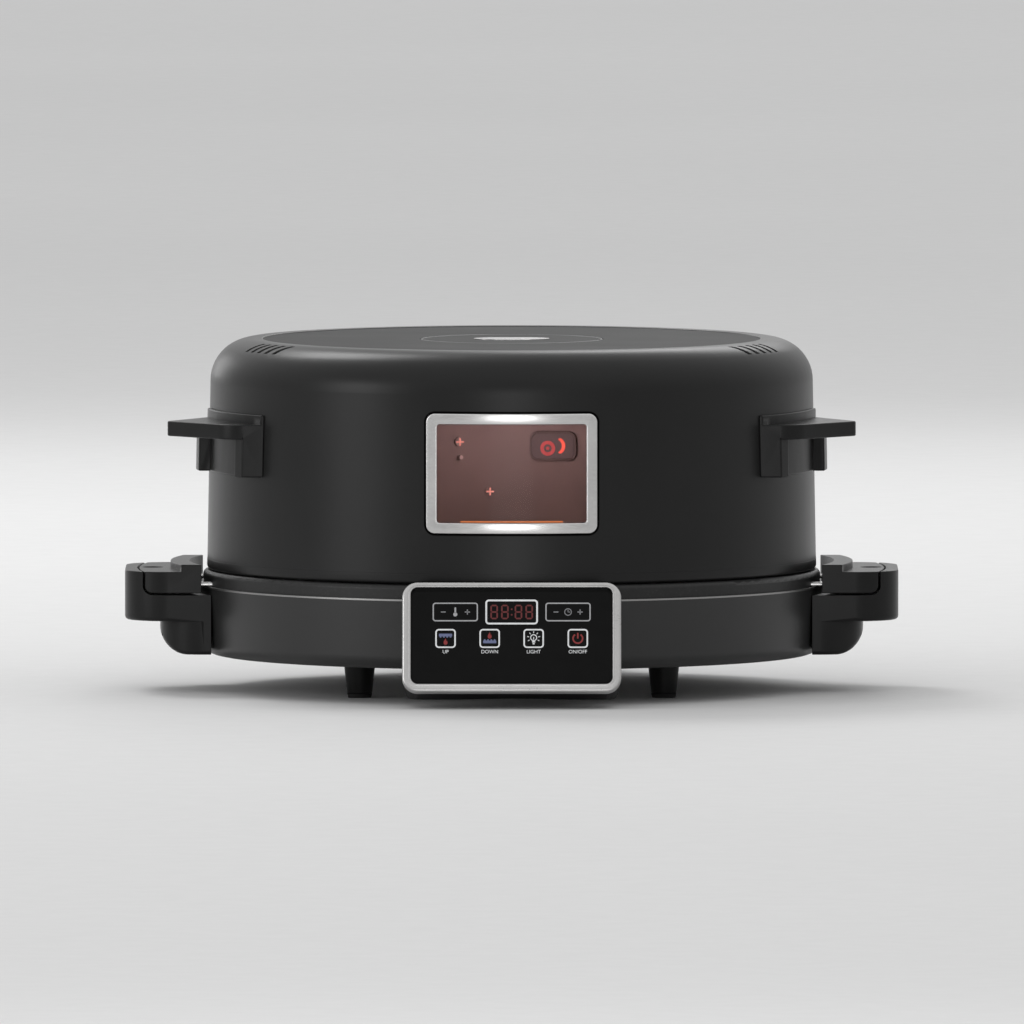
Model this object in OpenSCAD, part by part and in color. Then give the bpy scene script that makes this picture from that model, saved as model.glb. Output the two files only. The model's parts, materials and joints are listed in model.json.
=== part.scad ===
// Electric pizza oven: a drum lid hinged at the back of a low base, and a tilted control panel in front.
// Frame: origin on the standing surface under the drum axis, +Z up, the panel towards -Y, +X to the right.
// All sizes are millimetres.

/* [Feet] */
// Height of the feet, from the surface to the underside of the base
foot_h = 22; // [19:0.5:35]
// Distance between the left and the right feet
foot_pitch = 185; // [150:1:210]
// Distance of the front feet inside the round opening in the underside of the base shell
foot_front_in = 36.2; // [30:0.1:50]
// Distance of the rear feet inside that opening: far out, so that the oven stands with the lid open
foot_rear_in = 19.4; // [15:0.1:40]
// Radius of a foot at its top
foot_top_r = 9.8; // [8:0.1:14]
// Radius of a foot at its pad
foot_bottom_r = 7.6; // [6:0.1:8]
// Thickness of the rubber pad under a foot
foot_pad_t = 2.5; // [1.5:0.5:5]
// Chamfer around the rubber pad
foot_pad_chamfer = 0.6; // [0.2:0.1:1]

/* [Base] */
// How far the base stands out beyond the lid wall
base_step = 4.6; // [4:0.1:8]
// Height of the base shell
base_h = 41.6; // [40:0.2:60]
// How far the base wall leans in towards its underside
base_taper = 1.6; // [0.4:0.2:4]
// Radius of the rounded lower edge of the base
base_edge_r = 8; // [5:0.5:10]
// Sheet thickness of the base and lid shells
shell_t = 0.8; // [0.6:0.1:2]
// Width of the lip turned in at the top of the base
base_lip_w = 14; // [12:0.5:18]
// Width of the flat flange turned in at the underside
base_flange_w = 14; // [11:0.5:20]
// Thickness of the bottom plate
bottom_plate_t = 0.8; // [0.6:0.1:2.5]
// Gap between the bottom plate's edge and the rounded edge of the base
plate_edge_gap = 2; // [1:0.5:4]
// Air slots in the bottom plate
plate_slot_count = 16; // [8:1:18]
// Distance of the air slots from the drum axis
plate_slot_in = 60; // [55:1:65]
// Length of an air slot
plate_slot_l = 34; // [20:1:36]
// Width of an air slot
plate_slot_w = 4; // [2:0.1:5]
// Height of the bright trim ring
trim_h = 1; // [0.8:0.1:3]
// Width of the trim ring on the lip
trim_w = 6; // [5:0.5:8]
// Room for wiring between the bottom plate and the dish
wiring_h = 13; // [12:0.5:16]
// Sheet thickness of the dish and the lid liner
liner_t = 0.6; // [0.5:0.1:1.2]
// Gap between the dish and the lip of the base
dish_gap = 0.5; // [0.3:0.1:1]
// Gap around the flanges of the dish, the lid liner and the ring under it
flange_gap = 0.2; // [0.1:0.05:0.4]

/* [Pan and stone] */
// How far the pan rim stands out beyond the lid wall
pan_step = 2.5; // [1:0.1:3]
// Height of the pan rim band
pan_rim_h = 8.8; // [7:0.2:14]
// Width of the pan rim
pan_rim_w = 18.5; // [18:0.5:26]
// Depth of the pan below its rim
pan_depth = 19.9; // [16:0.1:21]
// Sheet thickness of the pan
pan_t = 1; // [0.8:0.1:2]
// Radius of the rounded outer corner of the pan rim
pan_corner_r = 3; // [2.5:0.1:4]
// Gap between the baking stone and the pan's wall
stone_gap = 14; // [8:0.1:30]
// Thickness of the baking stone
stone_t = 10; // [8:0.5:14]
// Chamfer of the stone's edges
stone_chamfer = 1.5; // [0.5:0.1:3]

/* [Lid] */
// Outer radius of the lid wall at its lower edge
lid_r = 186; // [180:1:196]
// Gap between the lid and the pan rim
lid_gap = 0.4; // [0.3:0.1:1]
// Height of the lid, from its lower edge to its crest
lid_h = 140.6; // [134:0.2:170]
// How far the lid wall leans in up to the shoulder
lid_draft = 2; // [0.5:0.5:4]
// Radius of the rolled lower edge of the lid
lid_edge_r = 2.5; // [1.5:0.5:7]
// Width of the flat flange turned in under the lid wall
lid_flange_w = 2; // [1.5:0.1:3]
// Radius of the rounded shoulder
shoulder_r = 25.6; // [20:0.2:28]
// Width of the flat crest around the top cover
crest_w = 5.7; // [4:0.1:12]
// How far the top cover lies below the crest
cover_drop = 0.6; // [0.5:0.1:4]
// Thickness of the top cover
cover_t = 1; // [0.9:0.1:2.5]
// Width of the ledge that carries the top cover
cover_ledge_w = 8; // [5:0.5:12]
// Gap around the top cover
cover_gap = 0.4; // [0.2:0.1:1]
// Radius of the ring groove in the top cover
groove_r = 55; // [35:1:110]
// Width of the ring groove
groove_w = 2; // [1:0.1:4]
// Depth of the ring groove
groove_d = 0.6; // [0.3:0.1:0.8]
// Length of the blank plate on the top cover
badge_l = 46; // [30:1:60]
// Width of the blank plate on the top cover
badge_w = 26; // [15:1:29]
// Length of the straight stretch at each end of the blank plate
badge_flat = 1; // [0.5:0.1:4]
// Thickness of the blank plate
badge_t = 0.4; // [0.3:0.1:1]

/* [Vents] */
// Vent slots in each group
vent_count = 5; // [3:1:6]
// Distance between vent slots
vent_pitch = 7.8; // [6:0.1:9]
// Width of a vent slot
vent_w = 3.6; // [2:0.1:4]
// Distance of the group's middle ahead of the drum axis
vent_y = 80; // [60:1:100]
// Distance of the slots' inner ends outside the crest
vent_start = 5; // [2:0.5:8]
// Length of the slots along the radius
vent_l = 10.5; // [6:0.5:14]

/* [Liner and insulation] */
// Gap between the lid wall and the liner
liner_gap = 11; // [10:0.5:12]
// Distance of the liner's top below the crest
liner_drop = 17; // [16:0.5:24]
// Radius of the liner's upper corner
liner_corner_r = 6; // [4:0.5:10]
// Thickness of the insulation pad on the liner
insulation_t = 8; // [5:0.5:9]
// Radius of the insulation pad
insulation_r = 140; // [100:1:143]
// Thickness of the ring under the liner
rim_ring_t = 1; // [0.6:0.1:1]
// Width of that ring inside the liner wall
rim_ring_in = 1.5; // [0.5:0.1:4]

/* [Heating] */
// Radius of the heating tubes
tube_r = 3.25; // [2.5:0.05:3.5]
// Radius of the lower heating ring
lower_ring_r = 120; // [90:1:150]
// Radius of the upper heating ring
upper_ring_r = 105; // [80:1:140]
// Distance of the upper ring below the liner's top
upper_ring_drop = 16; // [12:0.5:22]
// Opening of the heating rings at the terminal blocks, in degrees
ring_gap_deg = 30; // [20:1:50]
// Width of the terminal blocks across the ring
terminal_w = 16; // [12:0.5:20]
// Clips that hold each heating ring
clip_count = 3; // [3:1:5]
// Wall of a clip around the tube
clip_wall = 1.5; // [1:0.1:2.5]
// Length of a clip along the ring
clip_l = 7; // [5:0.5:12]
// Gap between a clip and its tube
clip_gap = 0.1; // [0.05:0.05:0.2]
// Radius of the sensor under the pan
pan_sensor_r = 8; // [5:0.5:14]
// Gap between that sensor and the pan
pan_sensor_gap = 0.3; // [0.2:0.1:0.8]

/* [Window] */
// Width of the window frame
win_w = 105; // [80:1:130]
// Height of the window frame
win_h = 74; // [50:1:84]
// Width of the frame's border
win_border = 7.2; // [6:0.1:10]
// Corner radius of the window frame
win_corner_r = 6; // [5.5:0.5:12]
// Smallest corner radius of the outlines inside the frame
win_inner_r = 2; // [1:0.1:3]
// Height of the window's middle above the lid's lower edge
win_rise = 67.3; // [60:0.1:70]
// Thickness of the window frame
win_frame_t = 1.6; // [1:0.1:2.5]
// Thickness of the window glass
glass_t = 3; // [2:0.1:4]
// Overlap of the frame and the retainer over the glass
glass_lap = 2.5; // [2:0.1:3]
// Width of the gasket around the glass
gasket_w = 1.4; // [1:0.1:2]
// Thickness of the retainer and the tunnel behind the glass
retainer_t = 1.2; // [0.8:0.1:1.6]
// How far the retainer reaches beyond the window frame's outline
retainer_over = 2; // [1:0.1:3]
// Gap between the pieces of the window
win_gap = 0.1; // [0.05:0.05:0.2]

/* [Lamp and sensor] */
// Width of the lamp housing
lamp_w = 29; // [24:0.5:36]
// Height of the lamp housing
lamp_h = 18; // [15:0.5:24]
// Depth of the lamp housing
lamp_d = 10; // [9:0.5:12]
// How far the lamp housing stands into the oven
lamp_stand = 3; // [2:0.5:5]
// Wall of the lamp housing
lamp_wall = 1.2; // [0.8:0.1:2]
// Corner radius of the lamp housing
lamp_corner_r = 5; // [3:0.5:7]
// Turn of the lamp from the back of the drum, in degrees to the right
lamp_turn = 8.5; // [6:0.5:30]
// Height of the lamp's middle below the window's middle
lamp_below = 1.9; // [-10:0.1:10]
// Radius of the bulb
bulb_r = 4.5; // [3:0.1:6]
// Distance of the bulb to the left of the lamp's middle
bulb_off = 4; // [0:0.1:6]
// Distance between the bulb's end and the housing's front edge
bulb_short = 3; // [2:0.1:4]
// Thickness of the lamp's lens
lens_t = 1.2; // [0.8:0.1:1.5]
// Gap around the lens, and between the lamp and the liner
lamp_gap = 0.2; // [0.1:0.05:0.3]
// Turn of the air sensor from the back of the drum, in degrees to the left
sensor_turn = 10.6; // [6:0.1:30]
// Height of the air sensor below the window's middle
sensor_below = 8.6; // [0:0.1:20]
// Radius of the air sensor's tip
sensor_r = 1.2; // [0.8:0.1:2.5]
// How far the air sensor reaches into the oven
sensor_reach = 6; // [3:0.5:15]
// Length of the sensor's tail behind the liner
sensor_tail = 6; // [4:0.5:8]
// Thickness of the sensor's flange behind the liner
sensor_flange_t = 3; // [2:0.5:4]
// How far the sensor's flange stands out around it
sensor_flange_over = 2; // [1:0.1:3]
// Gap around the sensor in the liner
sensor_gap = 0.1; // [0.05:0.05:0.2]

/* [Lid handles] */
// Distance of a handle's front face ahead of the drum axis
grip_front = 107; // [96:0.5:114]
// How far the front face's outer end lies inside the lid wall's radius
grip_kink_in = 13.7; // [10:0.1:16]
// How far the tip of the handle reaches beyond the lid wall's radius
grip_reach = 23.6; // [18:0.1:32]
// Distance of the tip ahead of the drum axis
grip_tip_front = 61; // [50:0.5:70]
// Distance of the handle's rear end ahead of the drum axis
grip_rear_front = 15.3; // [10:0.1:22]
// Height of the shelf's upper face above the lid's lower edge
grip_rise = 93; // [90:0.5:98]
// Thickness of the shelf
grip_t = 9.1; // [7:0.1:11]
// Height of the skirt above the shelf
grip_rib_h = 5.7; // [3:0.1:8]
// Height of the skirt below the shelf
grip_skirt_h = 23; // [18:0.1:28]
// Thickness of the skirt on the lid wall
grip_plate_t = 2; // [1.5:0.1:3]
// Depth of the front column under the shelf
grip_front_d = 11; // [7:0.1:13]
// Depth of the rear column under the shelf
grip_rear_d = 8.4; // [6:0.1:10]
// Width of the columns at the lid wall
grip_column_w = 15; // [12:0.1:20]
// Width of the front column at its outer face
grip_column_tip_w = 6.5; // [5:0.1:10]
// Radius of the bend in the shelf's front face
grip_kink_r = 20; // [8:1:24]
// Corner radius of the shelf's tip
grip_tip_r = 4; // [2:0.1:8]
// Gap between the handle and the lid wall
grip_gap = 0.1; // [0.05:0.05:0.3]

/* [Base handles] */
// Half width of a base handle, front to back
hold_half_w = 54; // [46:0.5:62]
// How far the grip reaches beyond the base wall
hold_reach = 45.4; // [40:0.1:56]
// Corner radius of the grip seen from above
hold_corner_r = 27; // [15:0.5:30]
// Height of the grip's lower face above the underside of the base
hold_rise = 22; // [18:0.1:24]
// Height of the grip
hold_h = 30.3; // [28:0.1:36]
// How far the bracket reaches beyond the base wall
bracket_reach = 23.9; // [18:0.1:30]
// Height of the bracket's underside above the underside of the base
bracket_rise = 1.6; // [0:0.1:3]
// Radius of the bracket's lower outer edge
bracket_edge_r = 17; // [10:0.5:18]
// Thickness of the grip's outer wall in the middle
hold_wall = 7.2; // [6.5:0.1:12]
// Gap between a base handle and the pan handle in it
pocket_gap = 1.3; // [1:0.1:3]
// Gap between a handle or housing and the base wall
wall_gap = 0.2; // [0.1:0.05:0.5]

/* [Pan handles] */
// Height of the pan handle's outer part
pan_grip_h = 13; // [11:0.1:16]
// How far its raised inner part reaches beyond the lid wall's radius
pan_ridge_reach = 22.4; // [16:0.1:28]
// Height of the raised part above the outer part
pan_ridge_h = 4.4; // [2:0.1:8]
// Distance of its hollow inner face beyond the lid wall's radius
pan_grip_in = 10.6; // [8.5:0.1:12]
// Radius of the curve of its outer end, seen from above
pan_end_r = 300; // [240:5:400]
// Radius of its lower outer edge
pan_edge_r = 4; // [2:0.1:6]
// Radius of the finger hole in the pan handle
finger_hole_r = 6.5; // [4:0.1:6.8]
// Distance of the finger hole's middle from the outer end
finger_hole_in = 8; // [7.6:0.1:9]
// Depth of the finger hole
finger_hole_d = 5; // [2:0.5:8]
// Radius of the steel rods
rod_r = 1.5; // [1:0.1:2]
// Distance of the rods in front of and behind the side axis
rod_y = 46; // [30:0.5:48]
// Depth of the rods in the pan handle
rod_sink = 12; // [8:0.5:16]
// Gap around a rod in the pan handle
rod_gap = 0.05; // [0.02:0.01:0.1]
// Gap between a rod and the pan rim or the trim ring
rod_end_gap = 0.1; // [0.05:0.05:0.3]

/* [Control panel] */
// Width of the panel
panel_w = 132.6; // [120:0.2:150]
// Height of the panel along its face
panel_h = 68.4; // [64:0.2:72]
// Lean of the panel from upright, in degrees
panel_tilt = 16; // [14:0.5:20]
// Corner radius of the panel
panel_corner_r = 9.5; // [8.5:0.5:16]
// Width of the bezel
bezel_w = 6; // [4:0.1:8]
// Depth of the bezel
bezel_t = 5; // [4.5:0.1:5.5]
// How far the panel's lower edge stands out beyond the base wall
panel_stand = 25.4; // [24:0.1:30]
// How far the panel's lower edge lies below the underside of the base
panel_drop = 11.3; // [9:0.1:13]
// How far the housing reaches below the underside of the base
housing_drop = 17.5; // [15:0.1:18]
// Wall of the plastic housings
housing_wall = 1.9; // [1.6:0.1:2.2]
// Radius of the wire holes behind the housings
wire_hole_r = 7; // [4:0.5:8]
// Inset of the housing's outline behind the bezel
housing_inset = 1.5; // [1:0.1:2.5]
// Thickness of the panel glass
panel_glass_t = 2.5; // [2:0.1:3]
// How far the glass lies below the bezel's face
panel_glass_drop = 0.6; // [0.4:0.1:1]
// Width of the seat behind the panel glass
panel_seat_w = 1.5; // [1:0.1:1.8]
// Gap around the panel glass
panel_gap = 0.15; // [0.1:0.05:0.3]
// Width of the display
display_w = 34; // [28:0.5:44]
// Height of the display
display_h = 15; // [10:0.5:16]
// Depth of the display
display_t = 4; // [2:0.1:4]
// Height of the display's middle above the panel's middle
display_rise = 15.8; // [10:0.1:16]
// Width of the control board
board_w = 108; // [80:1:112]
// Height of the control board
board_h = 44; // [36:1:46]
// Thickness of the circuit boards
board_t = 1.6; // [1:0.1:2]
// Distance of the control board's middle below the panel's middle
board_drop = 3; // [0:0.5:4]
// Radius of the posts on the circuit boards
post_r = 2.5; // [2:0.1:3]
// Distance of the posts from the edges of the circuit boards
post_in = 6; // [4:0.5:8]

/* [Power board] */
// Width of the power board
power_w = 92; // [80:1:100]
// Depth of the power board, front to back
power_d = 52; // [40:1:60]
// Distance of the power board's middle inside the base wall
power_in = 75; // [70:1:90]
// Height of the power board above the bottom plate
post_h = 3; // [2:0.1:4]
// Height of the parts on the power board
power_part_h = 7; // [4:0.1:7]
// Distance of the parts from the left and the right edge of the power board
power_part_in = 12; // [8:0.5:14]
// Gap between the parts on the power board
power_part_gap = 4; // [2:0.1:6]
// Width of the transformer
transformer_w = 22; // [16:1:26]
// Depth of the transformer
transformer_d = 28; // [16:1:32]
// Width of the relay
relay_w = 18; // [12:1:20]
// Depth of the relay
relay_d = 16; // [10:1:18]
// Radius of the capacitor
capacitor_r = 6; // [4:0.5:7]

/* [Rear housing and inlet] */
// Width of the rear housing
rear_w = 100; // [92:1:120]
// Height of the rear housing
rear_h = 32; // [30:0.5:33]
// Height of the rear housing above the underside of the base
rear_rise = 4; // [2:0.5:5]
// How far the rear housing reaches beyond the base wall
rear_reach = 23.4; // [22.5:0.1:26]
// Corner radius of the rear housing
rear_corner_r = 6; // [4:0.5:8]
// Width of the inlet's flange
inlet_w = 32; // [30:0.5:36]
// Height of the inlet's flange
inlet_h = 24; // [22:0.5:25]
// Thickness of the inlet's flange
inlet_flange_t = 2; // [1.5:0.1:3]
// Width of the inlet's mouth
mouth_w = 24; // [23:0.5:25]
// Height of the inlet's mouth
mouth_h = 16.5; // [16:0.5:17.5]
// Depth of the inlet's mouth
mouth_d = 16; // [14:0.5:17]
// Wall around the inlet's mouth
mouth_wall = 1.6; // [1.2:0.1:2]
// Corner radius of the inlet's flange
inlet_corner_r = 3; // [1:0.5:6]
// Gap around the inlet in the rear housing
inlet_gap = 0.2; // [0.1:0.05:0.3]
// Distance of the outer pins from the middle pin
pin_pitch = 7; // [6:0.1:8]
// Height of the middle pin above the outer pins
pin_step = 4; // [3:0.1:5]
// Thickness of the inlet's pins
contact_t = 2; // [1.5:0.1:2.5]
// Height of the inlet's pins
contact_h = 4; // [3:0.1:5]
// How far the pins end inside the mouth
contact_short = 4; // [2:0.5:6]

/* [Hinge] */
// Distance of the hinge axis behind the base wall
hinge_out = 12.4; // [11.5:0.1:13]
// Height of the hinge axis above the trim ring
hinge_rise = 5.4; // [5:0.1:8]
// Radius of the hinge pin
pin_r = 3; // [2:0.1:3.5]
// How far the heads of the hinge pin stand out around it
pin_head_over = 1.5; // [1:0.1:3]
// Thickness of those heads
pin_head_t = 1.5; // [1:0.1:3]
// Running gap of the pin in the lid's knuckle
pin_run_gap = 0.05; // [0.02:0.01:0.09]
// Gap of the pin in the ears of the base bracket
pin_seat_gap = 0.02; // [0.01:0.01:0.03]
// Outer radius of the lid's knuckle
knuckle_r = 7; // [5.5:0.1:7.5]
// Half length of the lid's knuckle
knuckle_half_l = 27.4; // [20:0.1:28]
// Gap between the knuckle and an ear
ear_gap = 0.6; // [0.3:0.1:1]
// Thickness of an ear
ear_t = 6; // [4:0.1:7]
// Radius of an ear around the pin
ear_r = 8; // [6:0.1:8.5]
// Thickness of the bracket's foot plate
hinge_foot_t = 2.5; // [2:0.1:4]
// Half width of the foot plate beyond the ears
hinge_foot_over = 10; // [8:0.5:12]
// Thickness of the hinge plate on the lid
hinge_plate_t = 3; // [2:0.1:4]
// Half width of the hinge plate on the lid
hinge_plate_half_w = 40; // [34:0.5:50]
// Height of the hinge plate on the lid
hinge_plate_h = 60; // [40:1:70]
// Distance of the hinge plate above the lid's lower edge
hinge_plate_rise = 12; // [10:0.5:16]
// Half width of the web between the hinge plate and the knuckle
web_half_w = 20; // [12:0.5:26]
// Distance of the base bracket's screws outside the ears
hinge_screw_out = 5; // [4.5:0.1:6]
// Distance of those screws in front of and behind the hinge axis
hinge_screw_y = 5; // [4:0.1:5.5]
// Distance of the hinge plate's screws from its upper and lower edge
hinge_screw_in = 8; // [6:0.5:12]

/* [Screws] */
// Radius of the screw heads
screw_head_r = 3.2; // [2.6:0.1:3.6]
// Height of the screw heads
screw_head_t = 1.8; // [1.2:0.1:2.2]
// Radius of the screw shanks
screw_r = 1.5; // [1.2:0.1:1.8]
// Gap around the screw shanks
screw_gap = 0.1; // [0.05:0.05:0.2]
// Gap under the screw heads
screw_seat_gap = 0.1; // [0.05:0.05:0.2]
// Width of the cross slots in the screw heads
screw_slot_w = 0.9; // [0.6:0.1:1.2]
// Depth of the cross slots
screw_slot_d = 0.8; // [0.4:0.1:1]
// Length of the screws of the base handles
handle_screw_l = 9; // [6:0.5:10]
// Length of the other screws in the walls
wall_screw_l = 6; // [5:0.5:7]
// How far a screw reaches past the sheets that it joins
screw_past = 2; // [1:0.5:3]
// Height of the lower screws in the base wall above its underside
base_screw_low = 11; // [10:0.5:14]
// Height of the upper screws in the base wall above its underside
base_screw_high = 29; // [26:0.5:30]
// Height of the back wall's upper screw above the window's middle
liner_screw_rise = 0.7; // [-4:0.1:4]
// Depth of the back wall's lower screw below the window's middle
liner_screw_drop = 30; // [20:0.1:40]

/* [Hidden] */
$fn = 96;

// How far cuts run past a face, and joined blocks into each other
past = 1;

// Heights, from the surface upwards
base_z = foot_h;
plate_z = base_z + shell_t;
plate_top_z = plate_z + bottom_plate_t;
base_top_z = base_z + base_h;
seat_z = base_top_z + trim_h;
pan_top_z = seat_z + pan_rim_h;
pan_floor_z = pan_top_z - pan_depth;
pan_under_z = pan_floor_z - pan_t;
dish_z = plate_top_z + wiring_h;
dish_top_z = dish_z + liner_t;
lower_ring_z = (dish_top_z + pan_under_z) / 2;
lid_z = pan_top_z + lid_gap;
top_z = lid_z + lid_h;
shoulder_z = top_z - shoulder_r;
cover_seat_z = top_z - cover_drop - cover_t;
cover_top_z = top_z - cover_drop;
liner_z = lid_z + shell_t;
liner_top_z = top_z - liner_drop;
upper_ring_z = liner_top_z - upper_ring_drop;
win_z = lid_z + win_rise;
lamp_z = win_z - lamp_below;
sensor_z = win_z - sensor_below;

// Radii about the drum axis
base_r = lid_r + base_step;
base_low_r = base_r - base_taper;
base_flange_r = base_low_r - base_edge_r - base_flange_w;
lip_in_r = base_r - base_lip_w;
trim_in_r = base_r - trim_w;
dish_r = lip_in_r - dish_gap;
pan_r = lid_r + pan_step;
pan_wall_r = pan_r - pan_rim_w;
stone_r = pan_wall_r - pan_t - stone_gap;
shoulder_mid_r = lid_r - lid_draft - shoulder_r;
cover_hole_r = shoulder_mid_r - crest_w;
cover_r = cover_hole_r - cover_gap;
liner_r = lid_r - liner_gap;
lid_flange_r = lid_r - lid_edge_r - lid_flange_w;
wall_out_r = base_r + wall_gap;

// Feet
foot_x = foot_pitch / 2;
foot_front_y = -sqrt(pow(base_flange_r - foot_front_in, 2) - foot_x * foot_x);
foot_rear_y = sqrt(pow(base_flange_r - foot_rear_in, 2) - foot_x * foot_x);

// Lid handle
grip_top_z = lid_z + grip_rise;
grip_low_z = grip_top_z - grip_t;

// Base and pan handles
hold_z = base_z + hold_rise;
hold_top_z = hold_z + hold_h;
hold_x = base_r + hold_reach;
bracket_x = base_r + bracket_reach;
bracket_z = base_z + bracket_rise;
bracket_h = hold_rise - bracket_rise + past;
pan_grip_z = hold_top_z - pan_grip_h;
pan_grip_x = hold_x - hold_wall - pocket_gap;
pan_ridge_z = hold_top_z + pan_ridge_h;
pan_ridge_r = lid_r + pan_ridge_reach;
pan_hollow_r = lid_r + pan_grip_in;
rod_end_x = sqrt(pan_hollow_r * pan_hollow_r - rod_y * rod_y) + rod_sink;
rod_z = seat_z + rod_r + rod_end_gap;

// Control panel
panel_low_y = -(base_r + panel_stand);
panel_low_z = base_z - panel_drop;
panel_mid_y = panel_low_y + panel_h / 2 * sin(panel_tilt);
panel_mid_z = panel_low_z + panel_h / 2 * cos(panel_tilt);
housing_z = base_z - housing_drop;
glass_back = panel_glass_drop + panel_glass_t;
display_back = glass_back + display_t;
housing_depth = panel_h;

// Rear housing and hinge
rear_z = base_z + rear_rise;
rear_top_z = rear_z + rear_h;
rear_y = base_r + rear_reach;
inlet_z = rear_z + rear_h / 2;
mouth_around = mouth_wall + inlet_gap;
wire_z = dish_z - wire_hole_r / 2;
hinge_y = base_r + hinge_out;
hinge_z = seat_z + hinge_rise;
ear_x = knuckle_half_l + ear_gap;
hinge_plate_z = lid_z + hinge_plate_rise;
hinge_screw_x = ear_x + ear_t + hinge_screw_out;

// Where the screws go: turns about the drum axis in degrees, heights in millimetres
bottom_screw_count = 8;
bottom_screw_r = (base_low_r - base_edge_r + base_flange_r) / 2;
base_screw_zs = [base_z + base_screw_low, base_z + base_screw_high];
housing_turns = [-103, -77, 78, 102];
hold_turns = [-10, 10, 170, 190];
grip_column_turns = [
    -asin((grip_front - grip_column_tip_w) / lid_r),
    -asin((grip_rear_front + grip_column_w / 2) / lid_r)
];
grip_screw_z = grip_low_z - grip_skirt_h / 2;
hinge_plate_turns = [81, 99];
hinge_plate_screw_zs = [hinge_plate_z + hinge_screw_in, hinge_plate_z + hinge_plate_h - hinge_screw_in];
liner_screw_spots = [
    [100.6, win_z + liner_screw_rise], [94.4, win_z - liner_screw_drop], [0, win_z], [180, win_z]
];

// Outer radius of the lid wall at a height
function lid_wall_r(z) = lid_r - lid_draft * (z - lid_z - lid_edge_r) / (shoulder_z - lid_z - lid_edge_r);

// Outer radius of the base wall at a height
function base_wall_r(z) = base_low_r + base_taper * (z - base_z - base_edge_r) / (base_h - base_edge_r);

// Rectangle with round corners about the origin
module round_rect(w, h, r) {
    square([w - 2 * r, h], center = true);
    square([w, h - 2 * r], center = true);
    for (x = [-1, 1], y = [-1, 1])
        translate([x * (w / 2 - r), y * (h / 2 - r)]) circle(r);
}

// Ring of rectangular section about the drum axis
module ring(r_in, r_out, z_low, z_high) {
    rotate_extrude() translate([r_in, z_low]) square([r_out - r_in, z_high - z_low]);
}

// Rounded lower edge of a drum, as a half section inset from its outer face
module edge_section(r, z, corner, inset) {
    translate([0, z + inset]) square([r - corner, corner - inset]);
    translate([r - corner, z + corner]) circle(corner - inset);
}

// Half section of the base, inset from its outer face
module base_section(inset) {
    edge_section(base_low_r, base_z, base_edge_r, inset);
    polygon([
        [0, base_z + base_edge_r], [base_low_r - inset, base_z + base_edge_r],
        [base_r - inset, base_top_z], [0, base_top_z]
    ]);
}

// Half section of a drum closed at the top by a rounded shoulder, inset from its outer face
module drum_section(r_low, r_high, z_low, z_high, corner, inset) {
    polygon([
        [0, z_low], [r_low - inset, z_low], [r_high - inset, z_high - corner],
        [r_high - corner, z_high - inset], [0, z_high - inset]
    ]);
    translate([r_high - corner, z_high - corner]) circle(corner - inset);
}

// Half section of the lid, inset from its outer face
module lid_section(inset) {
    edge_section(lid_r, lid_z, lid_edge_r, inset);
    drum_section(lid_r, lid_r - lid_draft, lid_z + lid_edge_r, top_z, shoulder_r, inset);
}

// Band that follows the lid wall between two offsets from its outer face
module wall_band(offset_in, offset_out, z_low, z_high) {
    rotate_extrude() polygon([
        [lid_wall_r(z_low) + offset_in, z_low], [lid_wall_r(z_low) + offset_out, z_low],
        [lid_wall_r(z_high) + offset_out, z_high], [lid_wall_r(z_high) + offset_in, z_high]
    ]);
}

// Cross slots of a screw head, about its outer face
module screw_cross() {
    for (turn = [0, 90])
        rotate([0, 0, turn]) cube([screw_head_r * 1.2, screw_slot_w, 2 * screw_slot_d], center = true);
}

// Screw along +Z with its head on the XY plane and a cross in the head
module screw(shank_l) {
    difference() {
        cylinder(h = screw_head_t, r = screw_head_r);
        translate([0, 0, screw_head_t]) screw_cross();
    }
    translate([0, 0, -shank_l]) cylinder(h = shank_l, r = screw_r);
}

// Places a screw on a round wall: the head inside, the shank pointing out
module inside_wall(turn, r, z) {
    rotate([0, 0, turn]) translate([r, 0, z]) rotate([0, -90, 0]) children();
}

// Places a screw on a round wall: the head outside, the shank pointing in
module outside_wall(turn, r, z) {
    rotate([0, 0, turn]) translate([r, 0, z]) rotate([0, 90, 0]) children();
}

// Straight hole for a screw through a round wall
module wall_hole(turn, r, z, depth) {
    rotate([0, 0, turn]) translate([r - depth, 0, z]) rotate([0, 90, 0])
        cylinder(h = 2 * depth, r = screw_r + screw_gap);
}

// Holes through the base wall for the screws of its handles and housings
module base_wall_holes(turns) {
    for (turn = turns, z = base_screw_zs) wall_hole(turn, base_wall_r(z), z, handle_screw_l + past);
}

// Hole through the base wall for the wires to the front or the back
module wire_hole(side) {
    translate([0, side * base_r, wire_z]) rotate([90, 0, 0])
        cylinder(h = base_lip_w, r = wire_hole_r, center = true);
}

// Places flat outlines on the panel: x to the right, y up along its face, z out of the face
module on_panel() {
    translate([0, panel_mid_y, panel_mid_z]) rotate([90 - panel_tilt, 0, 0]) children();
}

// Slab behind the panel's face, between two depths
module panel_slab(w, h, r, near, far) {
    on_panel() translate([0, 0, -far]) linear_extrude(far - near) round_rect(w, h, r);
}

// Such a slab with the panel's outline, drawn in all round
module panel_inset_slab(inset, near, far) {
    panel_slab(panel_w - 2 * inset, panel_h - 2 * inset, panel_corner_r - inset, near, far);
}

// Space in front of the drum axis, from a height upwards
module above_in_front(z) {
    translate([-panel_w, -2 * base_r, z]) cube([2 * panel_w, 2 * base_r, top_z]);
}

// Prism with the window's outline through the front of the lid wall
module window_prism(grow) {
    translate([0, -lid_r + shoulder_r + liner_gap, win_z]) rotate([90, 0, 0]) linear_extrude(2 * shoulder_r)
        round_rect(win_w + 2 * grow, win_h + 2 * grow, max(win_corner_r + grow, win_inner_r));
}

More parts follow.
